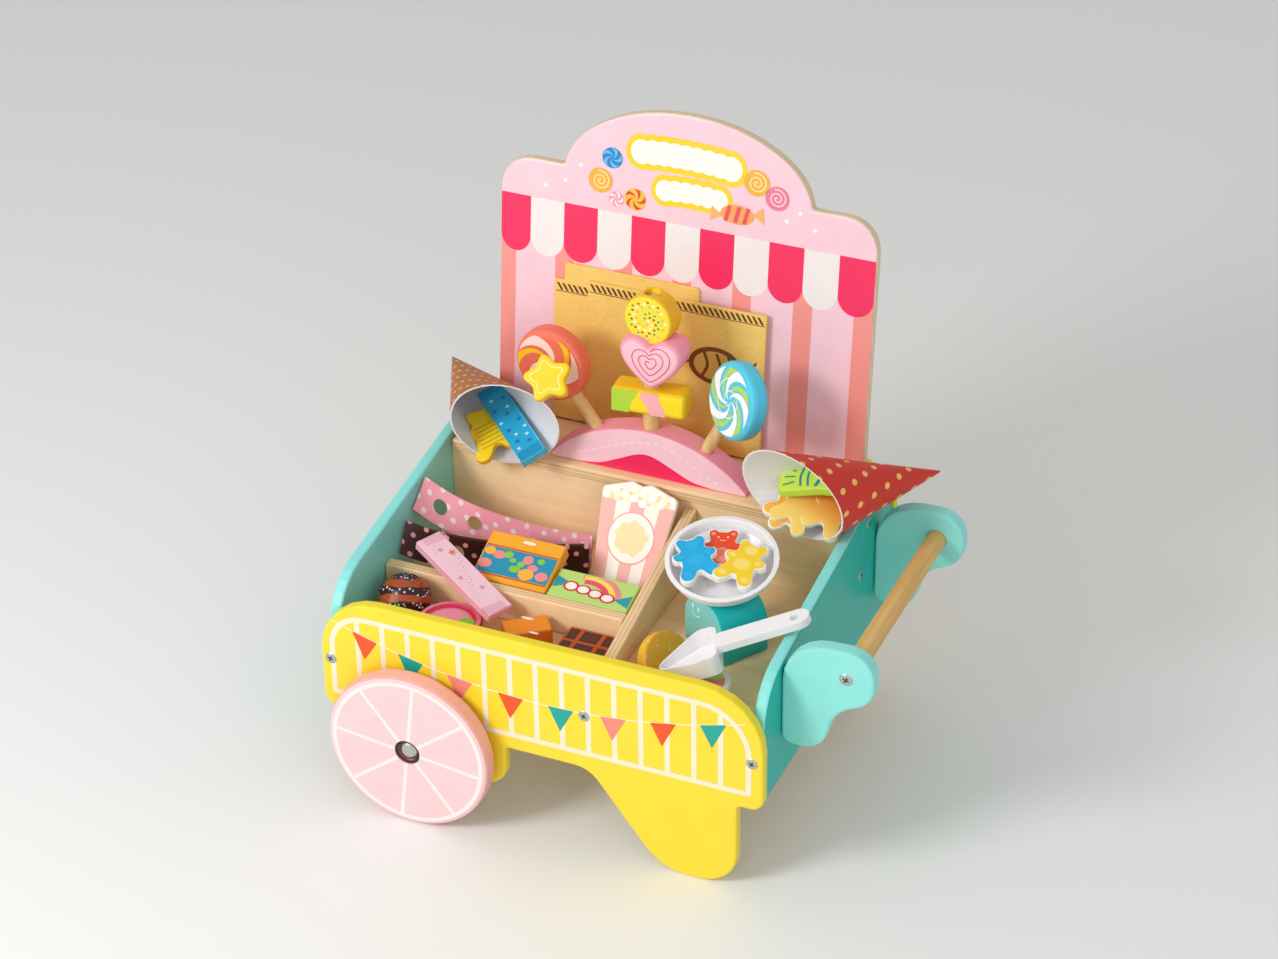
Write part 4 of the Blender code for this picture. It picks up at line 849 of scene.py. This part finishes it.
def box_prints():
    """Generic pictures on the gum pack and on the yellow and green boxes."""
    crimps = [box_2d(u - 0.5, -9.6, u + 0.5, 9.6) for end in (-1, 1) for u in end * np.arange(35.5, 42.0, 1.9)]
    specks = [disc_2d(-31 + 63 * ((i * 0.618) % 1), -8 + 16 * ((i * 0.371 + 0.2) % 1), 0.45, steps=8)
              for i in range(26)]
    printed(
        "pink_gum",
        ("pink_gum_crimps", crimps, "F0A6BC", 0.1),
        ("pink_gum_stars", [star_2d(u, v, 2.6, 1.1, u) for u, v in ((-27, -3), (18, 4), (3, -5))], "E98FA8", 0.12),
        ("pink_gum_orange_star", [star_2d(-21, 3.5, 3.6, 1.5, 0.3)], "EC7A4C", 0.12),
        ("pink_gum_specks", specks, "D9708C", 0.12),
        right="long",
    )
    w, h = flat_face("yellow_box")[4] - 0.6
    salmon = discs_2d(14, (-24, -8, 5.5, 4), (-16, 1.5, 5, 3.6), (7, 2, 4, 4), (22, -9.5, 5, 4), (13, -4, 4, 3))
    green = discs_2d(14, (-9, 3, 3.6, 3.2), (0, -8, 4.5, 3), (3, -3, 3, 2.6), (-4, -1, 2.6, 2), (17, 3, 3, 2.4))
    printed(
        "yellow_box",
        ("yellow_box_rules", [box_2d(-w, h * 0.4, w, h * 0.46), box_2d(-w, -h * 0.86, w, -h * 0.8)], "D8501C", 0.12),
        ("yellow_box_picture", [box_2d(-w, -h * 0.78, w, h * 0.38)], "1E93B4", 0.1),
        ("yellow_box_salmon", salmon, "F58E86", 0.14),
        ("yellow_box_green", green, "8CCB3E", 0.15),
        ("yellow_box_orange", discs_2d(16, (-24, 3.5, 4.2, 3.6), (10, -10.5, 6, 5)), "FFB53A", 0.16),
        ("yellow_box_tab", discs_2d(16, (2, h * 0.82, 5.5, 1.4)), "FFF6E0", 0.12),
    )
    w, h = flat_face("green_box")[4] - 0.6
    turn = np.linspace(0.05, 0.95, 14) * math.pi * 0.62
    rainbow = []
    for k, (radius, code) in enumerate(((26, "F58C8C"), (21.5, "FFE05A"), (17, "F05070"))):
        arc = np.column_stack([-w * 0.15 + radius * np.cos(turn), -h * 0.55 + radius * 0.78 * np.sin(turn)])
        arc = np.clip(arc, (-w, -h), (w - 2.6, h - 2.6))
        rainbow.append((f"green_box_rainbow_{k}", line_2d(arc, 4.2), code, 0.1 + 0.02 * k))
    corners = [[(-w, h * 0.5), (-w * 0.55, h * 0.1), (-w, -h * 0.4)],
               [(w, h * 0.2), (w * 0.6, -h * 0.4), (w, -h * 0.8)]]
    sweets = []
    for k, rim in enumerate(discs_2d(18, (-17, -1, 6, 5), (-7, -2, 6, 4.6), (3, -3.5, 6, 4.6), (13, -5, 6, 4.6))):
        middle = rim.mean(axis=0)
        sweets.append((f"green_box_sweet_rim_{k}", [rim], "DA2F46", 0.2 + 0.01 * k))
        sweets.append((f"green_box_sweet_{k}", [middle + (rim - middle) * 0.72], "FFF4E8", 0.26 + 0.01 * k))
    printed("green_box", *rainbow, ("green_box_blue", corners, "1E9CB4", 0.18), *sweets)


def tray_prints():
    """The popcorn card's stripes, corn and oval label, and the prints on bar, tin and caramel box."""
    low = -flat_face("popcorn_card")[4][1]
    stripes = [np.array([(22.4 * a, low + 0.8), (22.4 * b, low + 0.8), (28.9 * b, low + 65), (28.9 * a, low + 65)])
               for a, b in ((-1 + 0.4 * k, -0.6 + 0.4 * k) for k in (0, 2, 4))]
    k = np.arange(34)
    u = -26 + 52 * ((k * 0.618) % 1)
    v = low + 64 + (12 - 5 * np.abs(u) / 26) * ((k * 0.4142 + 0.3) % 1)
    corn = []
    for at, (code, size) in enumerate((("FFFDF2", 1.0), ("FDEFC8", 0.8), ("F8D890", 0.5))):
        for j, (x, y) in enumerate(zip(u[at::3], v[at::3])):
            puff = [disc_2d(x, y, 3.2 * size, 2.8 * size, 14)]
            corn.append((f"popcorn_puff_{at}_{j}", puff, code, 0.1 + 0.03 * at + 0.002 * j))
    t = np.linspace(0, math.tau, 60, endpoint=False)
    ripple = 12.5 + 0.9 * np.sin(9 * t) + 0.6 * np.sin(5 * t + 1)
    cloud = polar(ripple, t, 0, low + 38)
    printed(
        "popcorn_card",
        ("popcorn_stripes", stripes, "FAB0A4", 0.08),
        *corn,
        ("popcorn_oval_rim", [disc_2d(0, low + 38, 18.6, 19.6, 48)], "F29A92", 0.2),
        ("popcorn_oval", [disc_2d(0, low + 38, 17.6, 18.6, 48)], "FFF6EA", 0.24),
        ("popcorn_oval_cloud", [cloud], "FBE0A0", 0.28),
    )
    w, h = flat_face("chocolate_bar")[4] - 0.8
    squares = [box_2d(*np.clip((u, v, u + 13.6, v + 12.4), (-w, -h, -w, -h), (w, h, w, h)))
               for u in (-w - 6.5, -w + 10.5, -w + 27.5) for v in (h - 13.4, h - 29.0)]
    tops = [box_2d(*(q[0] + 1.6), *(q[2] - 1.6)) for q in squares if min(q[2] - q[0]) > 6]
    printed("chocolate_bar", ("chocolate_squares", squares, "3A1A0E", 0.1),
            ("chocolate_square_tops", tops, "4C2514", 0.14))
    r = flat_face("candy_tin")[4][0]
    printed("candy_tin", ("candy_tin_rim", line_2d(disc_2d(0, 0, r - 1.6, steps=60), 2.4, closed=True), "DC2C54", 0.1),
            ("candy_tin_lid_light", [disc_2d(0, 0, r - 4.4, steps=60)], "F99CB0", 0.12),
            ("candy_tin_sweet", [disc_2d(12, 4, 6.0, 4.6)], "8FD03A", 0.16))
    printed("caramel_box", ("caramel_box_mark", discs_2d(20, (-3, 8, 5.0, 1.5), (9, -7, 4.0, 1.2)), "FFF1DC", 0.1))


def tub_print():
    """A round label with two bare ovals on the lid of the closed tub."""
    r = flat_face("candy_tub")[4][0]
    printed("candy_tub", ("tub_label", [disc_2d(0, 0, r * 0.86, steps=40)], "F4868A", 0.1),
            ("tub_label_lime", [disc_2d(r * 0.1, r * 0.45, r * 0.62, r * 0.26)], "B9D94C", 0.14),
            ("tub_label_white", [disc_2d(-r * 0.1, -r * 0.1, r * 0.5, r * 0.2)], "FFF8F2", 0.18))


def bowl_bears():
    """Three larger gummy bears that fill the bowl, in place of the CAD's smaller ones.

    Each is placed by its middle (u, v) on the bowl's rim plane and the turn of its head from straight up."""
    out = unit([0.05, -0.252, 0.966])
    east = unit(RIGHT - out * out[0])
    north = np.cross(out, east)
    white = painted_wood("painted_beech_bear_edge", "F8F5F0", rough=0.42)
    ring = bear_2d(43.0)
    pads = [disc_2d(a, b, r, r * 0.85, 18) for a, b, r in (
        (0, 13, 5.0), (-10, 4.0, 2.6), (10, 4.0, 2.6), (0, -1, 6.4), (-9, -13.6, 3.2), (9, -13.6, 3.2))]
    t = np.linspace(-2.6, -0.54, 10)
    smile = line_2d(np.column_stack([2.4 * np.cos(t), 11.6 + 1.6 * np.sin(t)]), 0.6)
    face = (
        ("red_bear_face", discs_2d(12, (-3.4, 13.4, 0.8, 0.8), (3.4, 13.4, 0.8, 0.8)) + smile, "FFD9CC", 0.14),
        ("red_bear_ears", discs_2d(16, (-7.2, 16.6, 1.6, 1.6), (7.2, 16.6, 1.6, 1.6)), "F8A090", 0.14),
        ("red_bear_belly", discs_2d(24, (0, -3.5, 6.2, 7.4)), "F98C7C", 0.14),
    )
    for node, u, v, turn, height, code, tone in (
        ("blue_bear", -16.5, -8.5, 36.0, 3.6, "0AB0EA", "22B8EE"),
        ("yellow_bear", 16.5, -2.0, -8.0, 3.8, "FFD522", "FFE66E"),
        ("red_bear", -3.5, 8.5, 17.0, -2.0, "EF4A1C", None),
    ):
        turn = math.radians(turn)
        head = north * math.cos(turn) - east * math.sin(turn)
        place = placed((90.0, 123.8, 188.0) + east * u + north * v + out * height, head, out)
        marks = [(node + "_pads", pads, tone, 0.14)] if tone else face
        slab(node, "board", ring, 5.4, 0.7, place, white, (node + "_print", [ring * 0.93], code, 0.08), *marks)


def left_cone_sweets():
    """The blue gum and the bear wafer in the left paper cone, larger than the CAD's."""
    out = np.array([-0.154, -0.416, 0.896])
    lip = [(x, 42.6 - 1.1 * (k % 2)) for k, x in enumerate(np.linspace(10.3, -10.3, 15))]
    foot = [(x, -42.6 + 1.1 * (k % 2)) for k, x in enumerate(np.linspace(-10.3, 10.3, 15))]
    cyan = painted_wood("printed_beech_gum", "1FA9D8", "4CC6EC", out)
    place = placed((-110.4, 198.0, 215.3), (0.743, -0.648, -0.172), out)
    crimps = [box_2d(-9.7, v - 0.45, 9.7, v + 0.45) for end in (-1, 1) for v in end * np.arange(33.5, 41.0, 1.8)]
    dark = ((-5, -24), (6, -16), (-6, 3), (5, 8), (4, 22), (-4, 27), (-1, -8))
    pale = ((4, -27), (-4, -14), (7, -2), (-7, 12), (2, 15), (-5, 20), (6, 29))
    slab(
        "blue_gum", "board", lip + foot, 6.6, 0.5, place, cyan,
        ("blue_gum_crimps", crimps, "1580B4", 0.1),
        ("blue_gum_stars", [star_2d(u, v, 2.6, 1.1, u) for u, v in dark], "1272AE", 0.12),
        ("blue_gum_glints", [star_2d(u, v, 2.2, 0.7, v, 4) for u, v in pale], "E4F6FF", 0.12),
    )
    yellow = painted_wood("painted_beech_wafer", "FBD515", "EDB806", out, low=0.5, high=0.75)
    place = placed((-125.5, 196.0, 203.4) + 2.0 * unit(out), (-0.67, 0.71, 0.21), out)
    grooves = [box_2d(-11.5, v - 0.55, 11.5, v + 0.55) for v in np.arange(-14.0, 8.0, 4.2)]
    slab("bear_wafer", "board", bear_2d(52.0), 5.0, 1.0, place, yellow, ("bear_wafer_grooves", grooves, "D99C04", 0.1))


def right_cone_sweets():
    """Two gummies and the green wrapped sweet in the right paper cone, larger than the CAD's."""
    top = np.array([0.247, -0.547, 0.8])
    # The gummies' orange EE7C14 is painted shade deeper in the cone.
    gummy = graded_gummy("printed_beech_gummy_painted_shade", "FFD66C", "EE7C14", (130.0, 171.0, 206.0), (0.33, 0.83, 0.45),
                         26.0, top)
    for node, spot, head in (("upper_gummy", (128.5, 177.0, 210.6), (0.35, 0.83, 0.44)),
                             ("right_gummy", (150.5, 182.5, 208.4), (0.3, 0.84, 0.46))):
        slab(node, "board", bear_2d(41.0), 6.5, 0.6, placed(spot, head, top), gummy)
    out = np.array([-0.151, -0.282, 0.948])
    lime = painted_wood("painted_beech_wrapper", "CDEB52", "BEDC40", out)
    place = placed((131.5, 187.5, 230.4), (-0.97, -0.12, -0.2), out)
    ring = smooth_2d([(-12.5, 21), (-13.2, 8), (-12.6, -8), (-13, -21), (0, -22), (13, -21), (12.6, -8), (13.2, 8),
                      (12.5, 21), (0, 22)], 5, closed=True)
    strokes = []
    for u in (-6.4, 0.0, 6.4):
        strokes += line_2d(smooth_2d([(u * 1.25, 18.5), (u * 1.05, 14.5), (u * 0.8, 10.5)]), 1.4)
    for v in (6.5, 1.0):
        strokes += line_2d(smooth_2d([(-9.5, v - 1.5), (0, v), (9.5, v - 1.5)]), 1.7)
    strokes += line_2d(smooth_2d([(-10, -6), (0, -9), (10, -6)]), 2.6)
    slab("green_candy", "board", ring, 7.5, 1.4, place, lime, ("green_candy_strokes", strokes, "0E8F97", 0.1))


def bent_strip(node, start, middle, end, first, last, width, holes, material):
    """A long candy strip of bent plywood, 3 mm thick, with two round holes, in place of the CAD's coarser one.

    Its upper edge is the parabola through start, middle and end. From each of its points the strip hangs down a
    unit vector that turns from first to last over the first two fifths. Points 4 mm apart on the flat strip,
    and rings round the holes, are joined into triangles and laid on both faces, 1.5 mm from that surface."""
    pitch, half_thick, hole_radius, clear = 4, 1.5, 5.5, 6.6
    start, middle, end = (np.array(point, float) for point in (start, middle, end))
    control = 2 * middle - (start + end) / 2
    share = np.linspace(0, 1, 400)[:, None]
    edge = (1 - share) ** 2 * start + 2 * share * (1 - share) * control + share**2 * end
    run = run_of(edge)
    blend = np.minimum(1.0, share * 2.4)
    hang = unit(np.array([0, *first]) * (1 - blend) + np.array([0, *last]) * blend)
    across = unit(np.cross(np.gradient(edge, axis=0), hang))
    across *= np.sign(-across[:, 1:2])
    columns, rows = int(run[-1] / pitch) + 1, int(width / pitch) + 2
    u, v = np.meshgrid(np.linspace(0, run[-1], columns), np.linspace(0, width, rows), indexing="ij")
    flat = np.column_stack([u.ravel(), v.ravel()])
    centres = [np.array([np.interp(hole, share[:, 0], run), width / 2]) for hole in holes]
    for centre in centres:
        flat = flat[np.linalg.norm(flat - centre, axis=1) > clear]
    rim = np.arange(32) * math.tau / 32
    ring = polar(hole_radius, rim)
    flat = np.vstack([flat] + [centre + ring for centre in centres])
    made = delaunay_2d_cdt([Vector(point) for point in flat.tolist()], [], [], 0, 1e-4)
    flat, corners = np.array([point[:] for point in made[0]]), np.array([list(face) for face in made[2]])
    for centre in centres:
        corners = corners[np.linalg.norm(flat[corners].mean(axis=1) - centre, axis=1) >= hole_radius - 0.1]
    top, down, aside = (along_run(flat[:, 0], run, rows) for rows in (edge, hang, across))
    core = top - down * flat[:, 1:2] + CART_ZERO
    spots = np.vstack([core + aside * half_thick, core - aside * half_thick])
    a, b, c = spots[corners[0]]
    if np.dot(np.cross(b - a, c - a), aside[corners[0][0]]) < 0:
        corners = corners[:, ::-1]
    count = len(flat)
    walls = [[j, i, i + count, j + count] for i, j in border(corners)]
    faces = corners.tolist() + (corners[:, ::-1] + count).tolist() + walls
    piece = surface(node + "_bent", spots, faces, material, node, smooth=True)
    piece.data.set_sharp_from_angle(angle=math.radians(40))
    index = np.empty(len(piece.data.loops), np.int32)
    piece.data.loops.foreach_get("vertex_index", index)
    lay = piece.data.uv_layers.new(name="lay")
    lay.data.foreach_set("uv", (np.vstack([flat, flat])[index] / 10.0).ravel())
    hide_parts(node)


def heart_roll():
    """The heart at the size that the photograph shows, and its swirl: the outline three times round, shrinking."""
    half = [(0, 13.2), (4.0, 16.4), (9.5, 18.6), (16.0, 17.6), (21.0, 12.6), (22.4, 5.4), (19.8, -3.0), (13.8, -11.4),
            (7.0, -18.2), (0, -22.2)]
    ring = mirrored_2d(half, 8)
    pink = painted_wood("painted_beech_heart_roll", "FFC4D0", "F7A0B4", low=0.85, high=0.97)
    place = placed((1.4, 201.6, 287.0), TOP, FRONT)
    track = np.vstack([ring] * 3)
    shrink = np.linspace(0.78, 0.07, len(track))[:, None]
    swirl = line_2d(track * shrink + (0, -0.4), 0.7)
    outline = ring * (1.09, 0.98)
    slab("heart_roll", "board", outline, 24.0, 4.5, place, pink, ("heart_roll_swirl", swirl, "C2456A", 0.1))


def scale_arch():
    """The scale's body: a block 40 mm deep with two rounded shoulders of 20 mm radius, and a small face."""
    turn = math.radians(-33.0)
    side = np.array([math.cos(turn), math.sin(turn), 0.0])
    inward = np.array([-side[1], side[0], 0.0])
    t = np.linspace(0, math.pi / 2, 9)
    shoulders = [polar(20.0, t, 4.0, 23.0), polar(20.0, t + math.pi / 2, -4.0, 23.0)]
    ring = np.vstack([[(-24, 1.0), (-22.5, 0.0), (22.5, 0.0), (24, 1.0)], *shoulders])
    turquoise = painted_wood("painted_beech_arch", "86DCDA", "08C2C4", -inward)
    place = placed((95.0, 116.0, 123.4) - inward * 20.0 + side * 2.5, TOP, -inward)
    marks = discs_2d(12, (-13, 33, 1.2, 2.0), (-6, 33, 1.2, 2.0))
    marks += line_2d(smooth_2d([(-14.5, 27.5), (-9.5, 25.4), (-4.5, 27.5)]), 0.9)
    slab("scale_body", "arch", ring, 40.0, 1.6, place, turquoise, ("scale_face_marks", marks, "F4FDFD", 0.1))


def studio():
    """A plain pale floor, a large soft key light from the upper left, a weaker one from the right, and the camera."""
    size = 6.0
    mesh = bpy.data.meshes.new("studio_floor")
    mesh.from_pydata([(-size, -size, 0), (size, -size, 0), (size, size, 0), (-size, size, 0)], [], [(0, 1, 2, 3)])
    floor = bpy.data.objects.new("studio_floor", mesh)
    bpy.context.scene.collection.objects.link(floor)
    material = bpy.data.materials.new("studio_paper")
    material.use_nodes = True
    shader = material.node_tree.nodes["Principled BSDF"]
    shader.inputs["Base Color"].default_value = linear("F1F1EF")
    shader.inputs["Roughness"].default_value = 0.8
    mesh.materials.append(material)
    for name, place, width, power in (("key_light", (-0.85, -1.3, 1.12), 0.55, 15.9),
                                      ("fill_light", (1.1, -1.5, 1.0), 1.4, 6.0)):
        lamp = bpy.data.lights.new(name, "AREA")
        lamp.size = width
        lamp.energy = power
        back = unit(np.subtract(place, (0.0, 0.0, 0.2)))
        right = unit(np.cross(TOP, back))
        stand(bpy.data.objects.new(name, lamp), right, np.cross(back, right), back, place)
    world = bpy.data.worlds.new("studio_world")
    bpy.context.scene.world = world
    world.use_nodes = True
    sky = world.node_tree.nodes["Background"]
    sky.inputs[0].default_value = (1.0, 1.0, 1.0, 1.0)
    sky.inputs[1].default_value = 0.58
    lens = bpy.data.cameras.new("camera")
    lens.sensor_width = 36.0
    lens.lens = 94.16
    lens.clip_end = 50.0
    # The photograph's camera: turned 23.75 degrees, raised 32.36 degrees, rolled -0.8 degrees, 2.212 m from its aim
    turn, rise, roll, reach = 0.4145, 0.5648, -0.0139, 2212.0
    aim = (80.79, 0.0, 325.352)
    back = np.array([math.sin(turn) * math.cos(rise), -math.cos(turn) * math.cos(rise), math.sin(rise)])
    right = np.array([math.cos(turn), math.sin(turn), 0.0])
    up = np.cross(back, right)
    across = right * math.cos(roll) + up * math.sin(roll)
    above = up * math.cos(roll) - right * math.sin(roll)
    camera = bpy.data.objects.new("camera", lens)
    stand(camera, across, above, back, (aim + back * reach + CART_ZERO) * MM)
    bpy.context.scene.camera = camera
    bpy.context.scene.view_settings.view_transform = "Standard"


def stand(thing, right, up, back, place):
    """Puts a lamp or the camera in the scene at a place in metres, looking away from back."""
    matrix = np.eye(4)
    matrix[:3] = np.column_stack([right, up, back, place])
    thing.matrix_world = Matrix(matrix.tolist())
    bpy.context.scene.collection.objects.link(thing)


STEEL = zinc_steel("zinc_plated_screw")
# A point of the board lies BOARD_SHIFT less far along its up axis, from the cart's zero, than up the slope
origin, _, up, _, _ = flat_face("back_board")
from_zero = origin - CART_ZERO
BOARD_SHIFT = float((from_zero[1] - from_zero[2] * up[1] / up[2]) * up[1])

dress_cart()
dress_sweets()
panel_print("front_panel", "front_")
panel_print("rear_panel", "rear_")
wheel_paint("painted_beech_wheel", "front_wheel")
wheel_paint("painted_beech_wheel_rear", "rear_wheel")
cart_screws()
board_print()
bag_print()
stand_print()
stand_sweet_prints()
box_prints()
tray_prints()
bowl_bears()
left_cone_sweets()
right_cone_sweets()
heart_roll()
scale_arch()
bent_strip("pink_strip", (-157.4, 147, 184), (-102, 158, 157.5), (-31, 168, 150.8), (0.83, 0.55), (0.2, 0.98), 27,
           (2 / 14, 5 / 14), dotted_strip("printed_ply_pink_dots", "FDA6B4", "FFE2E4", 2.0))
bent_strip("brown_strip", (-157.2, 114, 166), (-104, 131, 151.0), (-29, 157, 150.4), (0.55, 0.83), (0.1, 0.99), 25.4,
           (5 / 14, 12 / 14), dotted_strip("printed_ply_brown_dots", "3C130E", "F3A6AE", 1.9))
tub_print()
studio()
